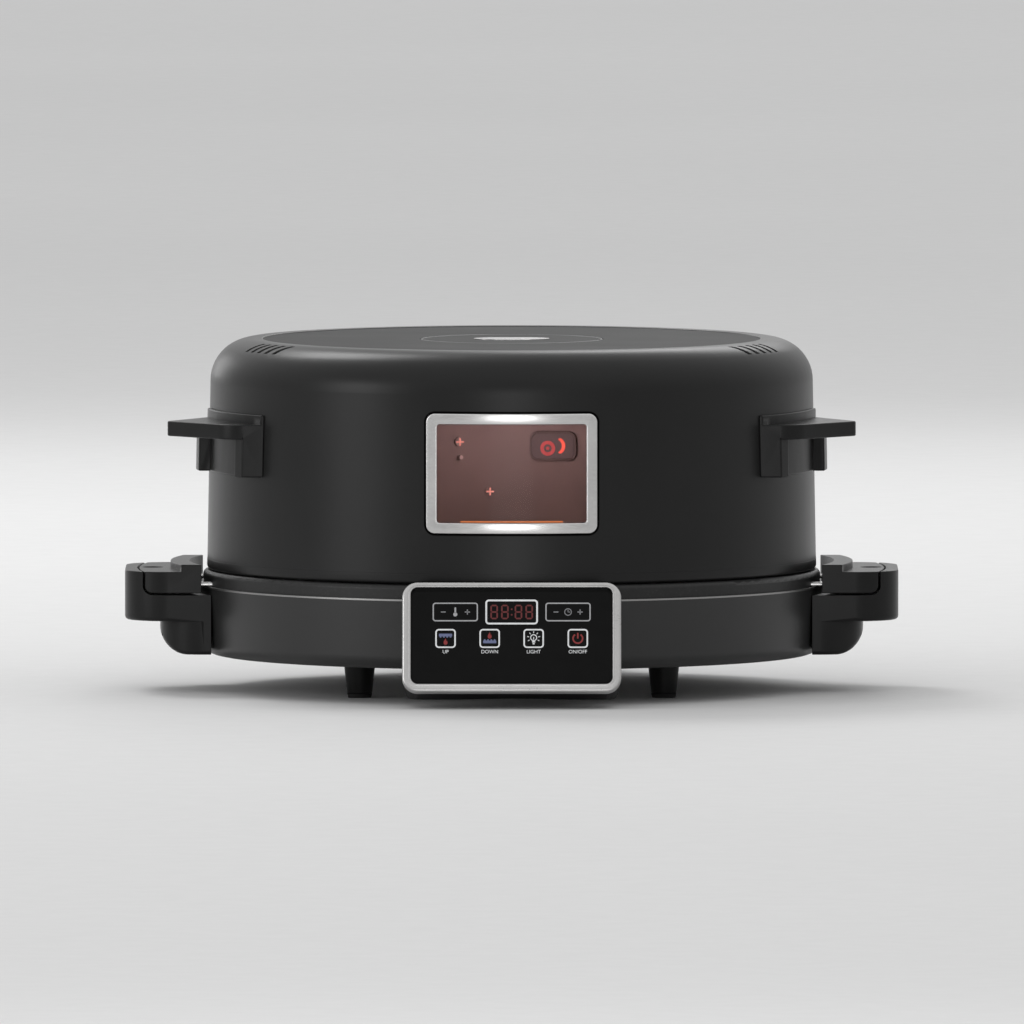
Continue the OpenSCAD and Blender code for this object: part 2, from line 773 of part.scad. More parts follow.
// Plate that follows the front lid wall between two offsets, inside one window outline
module window_plate(offset_in, offset_out, grow) {
    half_h = win_h / 2 + max(grow, 0) + past;
    intersection() {
        wall_band(offset_in, offset_out, win_z - half_h, win_z + half_h);
        window_prism(grow);
    }
}

// Such a plate with an opening of another window outline
module window_band(offset_in, offset_out, grow_out, grow_in) {
    difference() {
        window_plate(offset_in, offset_out, grow_out);
        window_prism(grow_in);
    }
}

// Turns a piece to the lamp's place: +Y out of the drum, Z up, origin on the liner's inner face
module at_lamp() {
    rotate([0, 0, -lamp_turn]) translate([0, liner_r - liner_t, lamp_z]) children();
}

// Rounded block of the lamp's outline between two distances along +Y
module lamp_block(inset, near, far) {
    translate([0, far, 0]) rotate([90, 0, 0]) linear_extrude(far - near)
        round_rect(lamp_w - 2 * inset, lamp_h - 2 * inset, lamp_corner_r - inset);
}

// Heating ring open at the back
module heating_ring(ring_r, z, grow) {
    rotate([0, 0, 90 + ring_gap_deg / 2]) rotate_extrude(angle = 360 - ring_gap_deg)
        translate([ring_r, z]) circle(tube_r + grow);
}

// Block in the opening of a heating ring
module terminal_block(ring_r, z_low, z_high) {
    rotate([0, 0, 90 - ring_gap_deg / 2]) rotate_extrude(angle = ring_gap_deg)
        translate([ring_r - terminal_w / 2, z_low]) square([terminal_w, z_high - z_low]);
}

// Clips around a heating ring, from one height to another
module ring_clips(ring_r, ring_z, z_low, z_high) {
    half = tube_r + clip_wall;
    difference() {
        for (k = [0 : clip_count - 1])
            rotate([0, 0, -90 + k * 360 / clip_count])
                translate([ring_r - half, -clip_l / 2, z_low]) cube([2 * half, clip_l, z_high - z_low]);
        heating_ring(ring_r, ring_z, clip_gap);
    }
}

// Plan of the base handle's grip or bracket on the right, out to a reach
module hold_plan(reach) {
    intersection() {
        translate([0, -hold_half_w]) square([reach, 2 * hold_half_w]);
        union() {
            square([2 * (reach - hold_corner_r), 2 * (hold_half_w + past)], center = true);
            square([2 * reach, 2 * (hold_half_w - hold_corner_r)], center = true);
            for (y = [-1, 1])
                translate([reach - hold_corner_r, y * (hold_half_w - hold_corner_r)]) circle(hold_corner_r);
        }
    }
}

// Base handle on the right: a grip with a pocket for the pan handle, on a bracket with a round lower edge
module hold() {
    difference() {
        union() {
            translate([0, 0, hold_z]) linear_extrude(hold_h) hold_plan(hold_x);
            intersection() {
                translate([0, 0, bracket_z]) linear_extrude(bracket_h) hold_plan(bracket_x);
                translate([0, hold_half_w, bracket_z]) rotate([90, 0, 0]) linear_extrude(2 * hold_half_w) {
                    square([bracket_x - bracket_edge_r, bracket_h]);
                    translate([0, bracket_edge_r]) square([bracket_x, bracket_h - bracket_edge_r]);
                    translate([bracket_x - bracket_edge_r, bracket_edge_r]) circle(bracket_edge_r);
                }
            }
        }
        translate([0, 0, base_z - past]) cylinder(h = top_z, r = wall_out_r);
        pan_grip_block(pocket_gap, hold_h);
        base_wall_holes(hold_turns);
    }
}

// Round block that ends in the curve of the pan handle's outer end, grown out and down, and made taller
module pan_grip_block(grow, taller) {
    end_r = pan_end_r + grow;
    corner = pan_edge_r + grow;
    translate([pan_grip_x - pan_end_r, 0, pan_grip_z - grow]) rotate_extrude() {
        square([end_r - corner, corner]);
        translate([0, corner]) square([end_r, pan_grip_h + grow + taller - corner]);
        translate([end_r - corner, corner]) circle(corner);
    }
}

// Pan handle on the right: an outer part with a finger hole and a raised part next to the lid
module pan_grip() {
    difference() {
        union() {
            intersection() {
                translate([0, 0, pan_grip_z]) linear_extrude(pan_grip_h) hold_plan(hold_x);
                pan_grip_block(0, 0);
            }
            intersection() {
                translate([0, -hold_half_w, pan_grip_z])
                    cube([pan_grip_x, 2 * hold_half_w, pan_ridge_z - pan_grip_z]);
                cylinder(h = pan_ridge_z, r = pan_ridge_r);
            }
        }
        cylinder(h = top_z, r = pan_hollow_r);
        translate([pan_grip_x - finger_hole_in, 0, hold_top_z - finger_hole_d])
            cylinder(h = finger_hole_d + past, r = finger_hole_r);
        pan_rods_right(rod_gap, rod_gap);
    }
}

// Rods of the right pan handle
module pan_rods_right(grow, longer) {
    for (y = [-1, 1])
        translate([0, y * rod_y, rod_z]) rotate([0, 90, 0])
            cylinder(h = rod_end_x + longer, r = rod_r + grow);
}

// Plan of the lid handle's shelf on the right; its tip and the bend in its front are rounded
module grip_plan() {
    tip = [lid_r + grip_reach - grip_tip_r, -grip_tip_front];
    kink = [lid_r - grip_kink_in, -grip_front];
    rear = [lid_r, -grip_rear_front];
    front_turn = atan2(kink[1] - tip[1], kink[0] - tip[0]) + acos(grip_tip_r / norm(kink - tip));
    rear_turn = atan2(rear[1] - tip[1], rear[0] - tip[0]) - acos(grip_tip_r / norm(rear - tip));
    tip_start = tip + grip_tip_r * [cos(front_turn), sin(front_turn)];
    bend = atan2(tip_start[1] - kink[1], tip_start[0] - kink[0]);
    bend_mid = kink + grip_kink_r * [-tan(bend / 2), 1];
    polygon([
        [lid_r / 2, -grip_front],
        bend_mid + [0, -grip_kink_r],
        bend_mid + grip_kink_r * [sin(bend), -cos(bend)],
        tip_start,
        tip + grip_tip_r * [cos(rear_turn), sin(rear_turn)],
        rear, [lid_r / 2, -grip_rear_front]
    ]);
    translate(tip) circle(grip_tip_r);
    translate(bend_mid) circle(grip_kink_r);
}

// Lid handle on the right: a skirt on the wall, a column under each end, and a shelf to lift by
module grip() {
    skirt_z = grip_low_z - grip_skirt_h;
    difference() {
        union() {
            translate([0, 0, grip_low_z]) linear_extrude(grip_t) grip_plan();
            intersection() {
                wall_band(-past, grip_plate_t, skirt_z, grip_top_z + grip_rib_h);
                translate([0, -grip_front, 0]) cube([2 * lid_r, grip_front - grip_rear_front, top_z]);
            }
            intersection() {
                wall_band(-past, grip_front_d, skirt_z, grip_low_z + past);
                translate([0, 0, skirt_z]) linear_extrude(grip_skirt_h + past) front_column_plan();
            }
            intersection() {
                wall_band(-past, grip_rear_d, skirt_z, grip_low_z + past);
                translate([0, -grip_rear_front - grip_column_w, skirt_z])
                    cube([2 * lid_r, grip_column_w, grip_skirt_h + past]);
            }
        }
        wall_core_from(skirt_z - past);
        for (turn = grip_column_turns) wall_hole(turn, lid_wall_r(grip_screw_z), grip_screw_z, wall_screw_l);
    }
}

// Lid wall from a height up to above the handles, grown by the handle's gap
module wall_core_from(z_low) {
    z_high = grip_top_z + grip_rib_h + past;
    translate([0, 0, z_low])
        cylinder(h = z_high - z_low, r1 = lid_wall_r(z_low) + grip_gap, r2 = lid_wall_r(z_high) + grip_gap);
}

// Plan of the front column of the right lid handle: it narrows from the lid wall to its outer face
module front_column_plan() {
    tip_y = -grip_front + grip_column_tip_w;
    root_y = -grip_front + grip_column_w;
    tip_x = sqrt(pow(lid_r + grip_front_d, 2) - tip_y * tip_y);
    root_x = sqrt(lid_r * lid_r - root_y * root_y);
    polygon([
        [lid_r / 2, -grip_front], [lid_r, -grip_front], [lid_r, tip_y], [tip_x, tip_y],
        [root_x, root_y], [lid_r / 2, root_y]
    ]);
}

// Places the sunk screws of the bottom plate: the head on the underside of the base
module at_bottom_screws() {
    for (k = [0 : bottom_screw_count - 1])
        rotate([0, 0, (k + 0.5) * 360 / bottom_screw_count])
            translate([bottom_screw_r, 0, base_z]) children();
}

// Foot under the bottom plate
module foot(side, y) {
    translate([side * foot_x, y, foot_pad_t])
        cylinder(h = plate_z - foot_pad_t, r1 = foot_bottom_r, r2 = foot_top_r);
}

// Base

module base_shell() color("#2d2e30") difference() {
    rotate_extrude() difference() {
        base_section(0);
        intersection() {
            base_section(shell_t);
            square([base_r, base_top_z - shell_t]);
        }
        square([base_flange_r, base_top_z + past]);
        translate([0, plate_top_z]) square([lip_in_r, base_h]);
    }
    at_bottom_screws() cylinder(h = shell_t, r1 = screw_head_r + screw_gap, r2 = screw_r + screw_gap);
    base_wall_holes(housing_turns);
    base_wall_holes(hold_turns);
    wire_hole(-1);
    wire_hole(1);
}

module base_bottom_plate() color("#1d1e1f") difference() {
    translate([0, 0, plate_z]) cylinder(h = bottom_plate_t, r = base_low_r - base_edge_r - plate_edge_gap);
    at_bottom_screws() cylinder(h = shell_t + bottom_plate_t + past, r = screw_r + screw_gap);
    for (k = [0 : plate_slot_count - 1])
        rotate([0, 0, (k + 0.5) * 360 / plate_slot_count])
            translate([plate_slot_in, -plate_slot_w / 2, plate_z - past])
                cube([plate_slot_l, plate_slot_w, bottom_plate_t + 2 * past]);
}

module bottom_screws() color("#8d9094") at_bottom_screws() {
    difference() {
        cylinder(h = shell_t, r1 = screw_head_r, r2 = screw_r);
        screw_cross();
    }
    translate([0, 0, shell_t]) cylinder(h = bottom_plate_t + screw_past, r = screw_r);
}

module foot_front_left() color("#242527") foot(-1, foot_front_y);

module foot_front_right() color("#242527") foot(1, foot_front_y);

module foot_rear_left() color("#242527") foot(-1, foot_rear_y);

module foot_rear_right() color("#242527") foot(1, foot_rear_y);

module foot_pads() color("#161617") {
    for (side = [-1, 1], y = [foot_front_y, foot_rear_y])
        translate([side * foot_x, y, 0])
            cylinder(h = foot_pad_t, r1 = foot_bottom_r - foot_pad_chamfer, r2 = foot_bottom_r);
}

module trim_ring() color("#c9c8c4") ring(trim_in_r, base_r, base_top_z, seat_z);

module base_liner() color("#a7a9aa") rotate_extrude() {
    translate([0, dish_z]) square([dish_r, liner_t]);
    translate([dish_r - liner_t, dish_z]) square([liner_t, base_top_z + liner_t - dish_z]);
    translate([dish_r - liner_t, base_top_z])
        square([trim_in_r - flange_gap - dish_r + liner_t, min(liner_t, trim_h)]);
}

module lower_heating_element() color("#5b5148") heating_ring(lower_ring_r, lower_ring_z, 0);

module lower_terminal_block() color("#d8d2c4")
    terminal_block(lower_ring_r, dish_top_z, lower_ring_z + tube_r + clip_wall);

module lower_element_clips() color("#9c9ea0")
    ring_clips(lower_ring_r, lower_ring_z, dish_top_z, lower_ring_z + tube_r + clip_wall);

module lower_temperature_sensor() color("#b9babb") translate([0, 0, dish_top_z])
    cylinder(h = pan_under_z - pan_sensor_gap - dish_top_z, r = pan_sensor_r);

// Posts near the corners of a circuit board, about its middle
module board_posts(w, h, post_l) {
    for (x = [-1, 1], y = [-1, 1])
        translate([x * (w / 2 - post_in), y * (h / 2 - post_in), 0]) cylinder(h = post_l, r = post_r);
}

module power_board() color("#2f5a3a") translate([0, base_r - power_in, plate_top_z]) {
    board_posts(power_w, power_d, post_h);
    translate([-power_w / 2, -power_d / 2, post_h]) cube([power_w, power_d, board_t]);
    translate([0, 0, post_h + board_t]) {
        translate([power_part_in - power_w / 2, -transformer_d / 2, 0])
            cube([transformer_w, transformer_d, power_part_h]);
        translate([power_part_gap, -relay_d, 0]) cube([relay_w, relay_d, power_part_h]);
        translate([power_w / 2 - power_part_in - power_part_gap, capacitor_r, 0])
            cylinder(h = power_part_h, r = capacitor_r);
    }
}

// Pan and stone

module baking_pan() color("#232426") rotate_extrude() {
    translate([0, pan_under_z]) square([pan_wall_r, pan_t]);
    translate([pan_wall_r - pan_t, pan_under_z]) square([pan_t, pan_depth + pan_t]);
    translate([pan_wall_r - pan_t, pan_top_z - pan_t]) square([pan_rim_w + pan_t - pan_corner_r, pan_t]);
    translate([pan_r - pan_t, seat_z]) square([pan_t, pan_rim_h - pan_corner_r]);
    translate([pan_r - pan_corner_r, pan_top_z - pan_corner_r]) intersection() {
        difference() {
            circle(pan_corner_r);
            circle(pan_corner_r - pan_t);
        }
        square(pan_corner_r);
    }
}

module pizza_stone() color("#c9b391") rotate_extrude() polygon([
    [0, pan_floor_z], [stone_r - stone_chamfer, pan_floor_z], [stone_r, pan_floor_z + stone_chamfer],
    [stone_r, pan_floor_z + stone_t - stone_chamfer], [stone_r - stone_chamfer, pan_floor_z + stone_t],
    [0, pan_floor_z + stone_t]
]);

// Handles of the base and the pan

module base_handle_left() color("#1b1c1d") mirror([1, 0, 0]) hold();

module base_handle_right() color("#1b1c1d") hold();

module base_handle_screws() color("#8d9094") {
    for (turn = hold_turns, z = base_screw_zs)
        inside_wall(turn, base_wall_r(z) - shell_t - screw_seat_gap, z) screw(handle_screw_l);
}

module pan_handle_left() color("#1f2021") mirror([1, 0, 0]) pan_grip();

module pan_handle_right() color("#1f2021") pan_grip();

module pan_handle_rods() color("#d6d6d4") {
    for (side = [0, 1])
        mirror([side, 0, 0]) difference() {
            pan_rods_right(0, 0);
            cylinder(h = top_z, r = pan_r + rod_end_gap);
        }
}

// Control panel

module panel_housing() color("#17181a") difference() {
    intersection() {
        panel_inset_slab(housing_inset, bezel_t, housing_depth);
        above_in_front(housing_z);
    }
    translate([0, 0, -past]) cylinder(h = top_z, r = wall_out_r);
    difference() {
        intersection() {
            panel_inset_slab(housing_inset + housing_wall, 0, housing_depth + past);
            above_in_front(housing_z + housing_wall);
        }
        translate([0, 0, -past]) cylinder(h = top_z, r = wall_out_r + housing_wall);
    }
    base_wall_holes(housing_turns);
    wire_hole(-1);
}

module panel_bezel() color("#b9b8b4") difference() {
    panel_inset_slab(0, 0, bezel_t);
    panel_inset_slab(bezel_w, -past, glass_back);
    panel_inset_slab(bezel_w + panel_seat_w, -past, bezel_t + past);
}

module panel_glass() color("#0c0c0d") panel_inset_slab(bezel_w + panel_gap, panel_glass_drop, glass_back);

module display_module() color("#3a1010") on_panel()
    translate([-display_w / 2, display_rise - display_h / 2, -display_back])
        cube([display_w, display_h, display_t]);

module control_board() color("#2f5a3a") on_panel() translate([0, -board_drop, -display_back - board_t]) {
    translate([-board_w / 2, -board_h / 2, 0]) cube([board_w, board_h, board_t]);
    board_posts(board_w, board_h, board_t + display_t);
}

module housing_screws() color("#8d9094") {
    for (turn = housing_turns, z = base_screw_zs)
        inside_wall(turn, base_wall_r(z) - shell_t - screw_seat_gap, z) screw(wall_screw_l);
}

// Rear housing, inlet and hinge on the base

module rear_housing() color("#17181a") difference() {
    translate([0, base_r / 2, rear_z]) linear_extrude(rear_h)
        round_rect(rear_w, 2 * rear_y - base_r, rear_corner_r);
    translate([0, 0, -past]) cylinder(h = top_z, r = wall_out_r);
    difference() {
        translate([0, base_r / 2, rear_z + housing_wall]) linear_extrude(rear_h - 2 * housing_wall)
            square([rear_w - 2 * housing_wall, 2 * (rear_y - housing_wall) - base_r], center = true);
        cylinder(h = top_z, r = wall_out_r + housing_wall);
    }
    translate([0, rear_y + past, inlet_z]) rotate([90, 0, 0]) linear_extrude(housing_wall + 2 * past)
        square([mouth_w + 2 * mouth_around, mouth_h + 2 * mouth_around], center = true);
    base_wall_holes(housing_turns);
    wire_hole(1);
    at_hinge_screws(rear_top_z - housing_wall - past)
        cylinder(h = housing_wall + 2 * past, r = screw_r + screw_gap);
}

// Places the screws of the hinge's base bracket, at a height
module at_hinge_screws(z) {
    for (x = [-1, 1], y = [-1, 1])
        translate([x * hinge_screw_x, hinge_y + y * hinge_screw_y, z]) children();
}

module power_inlet() color("#121314") translate([0, rear_y, inlet_z]) rotate([-90, 0, 0]) difference() {
    union() {
        linear_extrude(inlet_flange_t) round_rect(inlet_w, inlet_h, inlet_corner_r);
        translate([0, 0, inlet_flange_t - mouth_d - mouth_wall]) linear_extrude(mouth_d + mouth_wall)
            square([mouth_w + 2 * mouth_wall, mouth_h + 2 * mouth_wall], center = true);
    }
    translate([0, 0, inlet_flange_t - mouth_d]) linear_extrude(mouth_d + past)
        square([mouth_w, mouth_h], center = true);
}

module inlet_pins() color("#c8b27a") translate([0, rear_y + inlet_flange_t - mouth_d, inlet_z])
    for (spot = [[-pin_pitch, -pin_step / 2], [0, pin_step / 2], [pin_pitch, -pin_step / 2]])
        translate([spot[0] - contact_t / 2, 0, spot[1] - contact_h / 2])
            cube([contact_t, mouth_d - contact_short, contact_h]);

module hinge_base_bracket() color("#33353a") difference() {
    union() {
        translate([-ear_x - ear_t - hinge_foot_over, hinge_y - ear_r - past, rear_top_z])
            cube([2 * (ear_x + ear_t + hinge_foot_over), 2 * (ear_r + past), hinge_foot_t]);
        for (side = [-1, 1]) translate([side * (ear_x + ear_t / 2) - ear_t / 2, hinge_y, 0]) {
            translate([0, -ear_r, rear_top_z]) cube([ear_t, 2 * ear_r, hinge_z - rear_top_z]);
            translate([0, 0, hinge_z]) rotate([0, 90, 0]) cylinder(h = ear_t, r = ear_r);
        }
    }
    translate([-ear_x - ear_t - past, hinge_y, hinge_z]) rotate([0, 90, 0])
        cylinder(h = 2 * (ear_x + ear_t + past), r = pin_r + pin_seat_gap);
    at_hinge_screws(rear_top_z - past) cylinder(h = hinge_foot_t + 2 * past, r = screw_r + screw_gap);
}

module hinge_pin() color("#b4b6b8") translate([0, hinge_y, hinge_z]) rotate([0, 90, 0]) {
    translate([0, 0, -ear_x - ear_t]) cylinder(h = 2 * (ear_x + ear_t), r = pin_r);
    for (side = [0, 1])
        mirror([0, 0, side]) translate([0, 0, ear_x + ear_t])
            cylinder(h = pin_head_t, r = pin_r + pin_head_over);
}

module hinge_base_screws() color("#8d9094")
    at_hinge_screws(rear_top_z + hinge_foot_t) screw(hinge_foot_t + housing_wall + screw_past);

// Lid

module lid_shell() color("#2d2e30") difference() {
    rotate_extrude() difference() {
        lid_section(0);
        difference() {
            lid_section(shell_t);
            translate([0, cover_seat_z - shell_t]) square([cover_hole_r + shell_t, liner_drop + shell_t]);
        }
        translate([0, cover_seat_z]) square([cover_hole_r, liner_drop]);
        square([cover_r - cover_ledge_w, top_z + past]);
        square([lid_flange_r, lid_z + lid_edge_r]);
    }
    window_prism(-win_border + glass_lap + gasket_w + 2 * win_gap);
    for (side = [0, 1]) mirror([side, 0, 0]) vent_slots();
    for (side = [0, 1], turn = grip_column_turns)
        mirror([side, 0, 0]) wall_hole(turn, lid_wall_r(grip_screw_z), grip_screw_z, wall_screw_l);
    for (turn = hinge_plate_turns, z = hinge_plate_screw_zs) wall_hole(turn, lid_wall_r(z), z, wall_screw_l);
}

// Vent slots of the right group, cut straight down through the shoulder
module vent_slots() {
    slot_in_r = shoulder_mid_r + vent_start;
    translate([0, 0, shoulder_z]) linear_extrude(shoulder_r + past) intersection() {
        difference() {
            circle(slot_in_r + vent_l);
            circle(slot_in_r);
        }
        for (k = [0 : vent_count - 1])
            translate([0, -vent_y + (k - (vent_count - 1) / 2) * vent_pitch - vent_w / 2])
                square([lid_r, vent_w]);
    }
}

module lid_top_cover() color("#303133") difference() {
    translate([0, 0, cover_seat_z]) cylinder(h = cover_t, r = cover_r);
    ring(groove_r - groove_w / 2, groove_r + groove_w / 2, cover_top_z - groove_d, cover_top_z + past);
}

module top_badge() color("#b9b8b4") translate([0, 0, cover_top_z]) linear_extrude(badge_t)
    round_rect(badge_l, badge_w, (badge_w - badge_flat) / 2);

module lid_liner() color("#8f9193") difference() {
    rotate_extrude() {
        difference() {
            drum_section(liner_r, liner_r, liner_z, liner_top_z, liner_corner_r, 0);
            drum_section(liner_r, liner_r, liner_z - past, liner_top_z, liner_corner_r, liner_t);
        }
        translate([liner_r - liner_t, liner_z])
            square([lid_r - lid_edge_r - flange_gap - liner_r + liner_t, liner_t]);
    }
    window_prism(-win_border + 2 * glass_lap);
    at_lamp() lamp_block(-lamp_gap, -lamp_d, lamp_d);
    rotate([0, 0, 90 + sensor_turn]) translate([liner_r - sensor_tail, 0, sensor_z]) rotate([0, 90, 0])
        cylinder(h = 2 * sensor_tail, r = sensor_r + sensor_gap);
    for (spot = liner_screw_spots) wall_hole(spot[0], liner_r, spot[1], wall_screw_l);
}

module lid_rim_ring() color("#9a9c9e")
    ring(liner_r - liner_t - rim_ring_in, lid_flange_r - flange_gap, liner_z - rim_ring_t, liner_z);

module lid_insulation() color("#d9cfae") translate([0, 0, liner_top_z])
    cylinder(h = insulation_t, r = insulation_r);

module upper_heating_element() color("#5b5148") heating_ring(upper_ring_r, upper_ring_z, 0);

module upper_terminal_block() color("#d8d2c4")
    terminal_block(upper_ring_r, upper_ring_z - tube_r - clip_wall, liner_top_z - liner_t);

module upper_element_clips() color("#9c9ea0")
    ring_clips(upper_ring_r, upper_ring_z, upper_ring_z - tube_r - clip_wall, liner_top_z - liner_t);

module upper_temperature_sensor() color("#c4c5c6") rotate([0, 0, 90 + sensor_turn])
    translate([liner_r - liner_t - sensor_reach, 0, sensor_z]) rotate([0, 90, 0]) {
        cylinder(h = sensor_reach + liner_t + sensor_tail, r = sensor_r);
        translate([0, 0, sensor_reach + liner_t + sensor_gap])
            cylinder(h = sensor_flange_t, r = sensor_r + sensor_flange_over);
    }

module window_frame() color("#c4c3bf")
    window_band(win_gap, win_frame_t, 0, -win_border);

module window_glass() color("#3a211c", 0.6)
    window_plate(-glass_t, 0, -win_border + glass_lap);

module window_gasket() color("#141414")
    window_band(-glass_t, 0, -win_border + glass_lap + gasket_w + win_gap, -win_border + glass_lap + win_gap);

module window_retainer() color("#77797b") {
    window_band(-glass_t - win_gap - retainer_t, -glass_t - win_gap, retainer_over, -win_border);
    window_band(-glass_t - win_gap - retainer_t, -shell_t - win_gap,
        retainer_over, -win_border + glass_lap + gasket_w + 2 * win_gap);
}

module window_tunnel() color("#8f9193")
    window_band(-liner_gap + win_gap, -glass_t - 2 * win_gap - retainer_t,
        -win_border + glass_lap + retainer_t, -win_border + glass_lap);

module lamp_housing() color("#1a1a1b") at_lamp() difference() {
    lamp_block(0, -lamp_stand, lamp_d - lamp_stand);
    lamp_block(lamp_wall, -lamp_stand - past, lamp_d - lamp_stand - lamp_wall);
}

module lamp_bulb() color("#f2d9a6") at_lamp() translate([-bulb_off, lamp_d - lamp_stand - lamp_wall, 0])
    rotate([90, 0, 0]) cylinder(h = lamp_d - lamp_wall - bulb_short, r = bulb_r);

module lamp_lens() color("#c9cfd2", 0.4) at_lamp()
    lamp_block(lamp_wall + lamp_gap, lamp_gap - lamp_stand, lamp_gap + lens_t - lamp_stand);

module liner_screws() color("#b4b6b8") {
    for (spot = liner_screw_spots)
        inside_wall(spot[0], liner_r - liner_t - screw_seat_gap, spot[1]) screw(wall_screw_l);
}

// Handles and hinge of the lid

module lid_handle_left() color("#1b1c1d") mirror([1, 0, 0]) grip();

module lid_handle_right() color("#1b1c1d") grip();

module lid_handle_screws() color("#8d9094") {
    for (side = [0, 1], turn = grip_column_turns)
        mirror([side, 0, 0])
            inside_wall(turn, lid_wall_r(grip_screw_z) - shell_t - screw_seat_gap, grip_screw_z)
                screw(wall_screw_l);
}

module hinge_lid_bracket() color("#33353a") difference() {
    union() {
        intersection() {
            wall_band(0, hinge_plate_t, hinge_plate_z, hinge_plate_z + hinge_plate_h);
            translate([-hinge_plate_half_w, 0, 0]) cube([2 * hinge_plate_half_w, 2 * lid_r, top_z]);
        }
        translate([-knuckle_half_l, hinge_y, hinge_z]) rotate([0, 90, 0])
            cylinder(h = 2 * knuckle_half_l, r = knuckle_r);
        translate([-web_half_w, 0, 0]) rotate([90, 0, 90]) linear_extrude(2 * web_half_w) polygon([
            [liner_r, hinge_plate_z], [hinge_y - knuckle_r + past, hinge_z],
            [hinge_y, hinge_z + knuckle_r - past],
            [lid_r, hinge_plate_z + hinge_plate_h / 2], [liner_r, hinge_plate_z + hinge_plate_h / 2]
        ]);
    }
    translate([0, 0, lid_z]) cylinder(
        h = shoulder_z - lid_z, r1 = lid_wall_r(lid_z) + grip_gap, r2 = lid_wall_r(shoulder_z) + grip_gap
    );
    translate([-knuckle_half_l - past, hinge_y, hinge_z]) rotate([0, 90, 0])
        cylinder(h = 2 * (knuckle_half_l + past), r = pin_r + pin_run_gap);
    for (turn = hinge_plate_turns, z = hinge_plate_screw_zs) wall_hole(turn, lid_wall_r(z), z, wall_screw_l);
}

module hinge_lid_screws() color("#8d9094") {
    for (turn = hinge_plate_turns, z = hinge_plate_screw_zs)
        outside_wall(turn, lid_wall_r(z) + hinge_plate_t + screw_seat_gap, z)
            screw(hinge_plate_t + shell_t + screw_past);
}

base_shell();
base_bottom_plate();
bottom_screws();
foot_front_left();
foot_front_right();
foot_rear_left();
foot_rear_right();
foot_pads();
trim_ring();
base_liner();
lower_heating_element();
lower_terminal_block();
lower_element_clips();
lower_temperature_sensor();
power_board();
baking_pan();
pizza_stone();
base_handle_left();
base_handle_right();
base_handle_screws();
pan_handle_left();
pan_handle_right();
pan_handle_rods();
panel_housing();
panel_bezel();
panel_glass();
display_module();
control_board();
housing_screws();
rear_housing();
power_inlet();
inlet_pins();
hinge_base_bracket();
hinge_pin();
hinge_base_screws();
lid_shell();
lid_top_cover();
top_badge();
lid_liner();
lid_rim_ring();
lid_insulation();
upper_heating_element();
upper_terminal_block();
upper_element_clips();
upper_temperature_sensor();
window_frame();
window_glass();
window_gasket();
window_retainer();
window_tunnel();
lamp_housing();
lamp_bulb();
lamp_lens();
liner_screws();
lid_handle_left();
lid_handle_right();
lid_handle_screws();
hinge_lid_bracket();
hinge_lid_screws();
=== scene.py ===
"""Looks of an electric pizza oven: a drum lid with a window, side handles and a tilted touch panel."""

import json
import math

import bmesh
import bpy
from mathutils import Matrix, Vector
from mathutils.geometry import interpolate_bezier


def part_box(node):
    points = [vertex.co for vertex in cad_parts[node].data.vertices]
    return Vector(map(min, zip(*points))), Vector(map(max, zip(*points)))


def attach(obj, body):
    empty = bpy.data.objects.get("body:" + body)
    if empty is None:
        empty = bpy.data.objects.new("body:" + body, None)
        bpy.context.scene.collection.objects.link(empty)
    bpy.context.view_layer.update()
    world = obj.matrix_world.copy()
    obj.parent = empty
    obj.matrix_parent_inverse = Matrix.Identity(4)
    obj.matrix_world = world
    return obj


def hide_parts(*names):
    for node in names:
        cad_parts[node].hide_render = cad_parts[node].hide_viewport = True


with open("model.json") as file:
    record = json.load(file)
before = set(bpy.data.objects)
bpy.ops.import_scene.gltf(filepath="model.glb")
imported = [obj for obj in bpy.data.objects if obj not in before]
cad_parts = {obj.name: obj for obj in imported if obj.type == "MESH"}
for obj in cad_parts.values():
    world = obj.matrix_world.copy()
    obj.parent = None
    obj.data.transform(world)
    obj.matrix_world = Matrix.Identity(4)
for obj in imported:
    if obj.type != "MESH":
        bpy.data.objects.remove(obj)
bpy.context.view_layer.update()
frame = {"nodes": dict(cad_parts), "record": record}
nodes = frame["nodes"]

MM = 0.001

# Camera: far away, a little above the oven
CAMERA_DISTANCE = 20.0
CAMERA_ELEVATION = math.radians(3.15)
CAMERA_AIM = Vector((0.0002, 0.0, 0.1079))
FRAME_WIDTH = 0.6257
SENSOR_WIDTH = 36.0
CAMERA_CLIP_END = 120.0

# Shape of the drum, as the solids have it
LID_DRAFT = 2 * MM
LID_EDGE_R = 2.5 * MM
SHOULDER_R = 25.6 * MM
GROOVE_R = 55 * MM
PANEL_TILT = math.radians(16)

# Rounded edges
ARC_STEPS = 12
WELD = 0.002 * MM
FLAT_ANGLE = math.radians(1.5)
SHARP_ANGLE = math.radians(28)
FRAME_ANGLE = math.radians(50)
BEZEL_ANGLE = math.radians(40)
TOP_BAND = 1 * MM
STEEP = 0.7


# Node materials

def node(tree, kind, sockets=None, **properties):
    """Adds a shader node, sets its properties, and sets or links its input sockets."""
    made = tree.nodes.new(kind)
    for key, value in properties.items():
        setattr(made, key, value)
    for key, value in (sockets or {}).items():
        if isinstance(value, bpy.types.NodeSocket):
            tree.links.new(value, made.inputs[key])
        else:
            made.inputs[key].default_value = value
    return made


def new_material(name, **fixed):
    """Material with a principled shader, whose constant values are set on its own sockets."""
    material = bpy.data.materials.new(name)
    material.use_nodes = True
    shader = material.node_tree.nodes["Principled BSDF"]
    for key, value in fixed.items():
        shader.inputs[key.replace("_", " ")].default_value = value
    return material, material.node_tree, shader


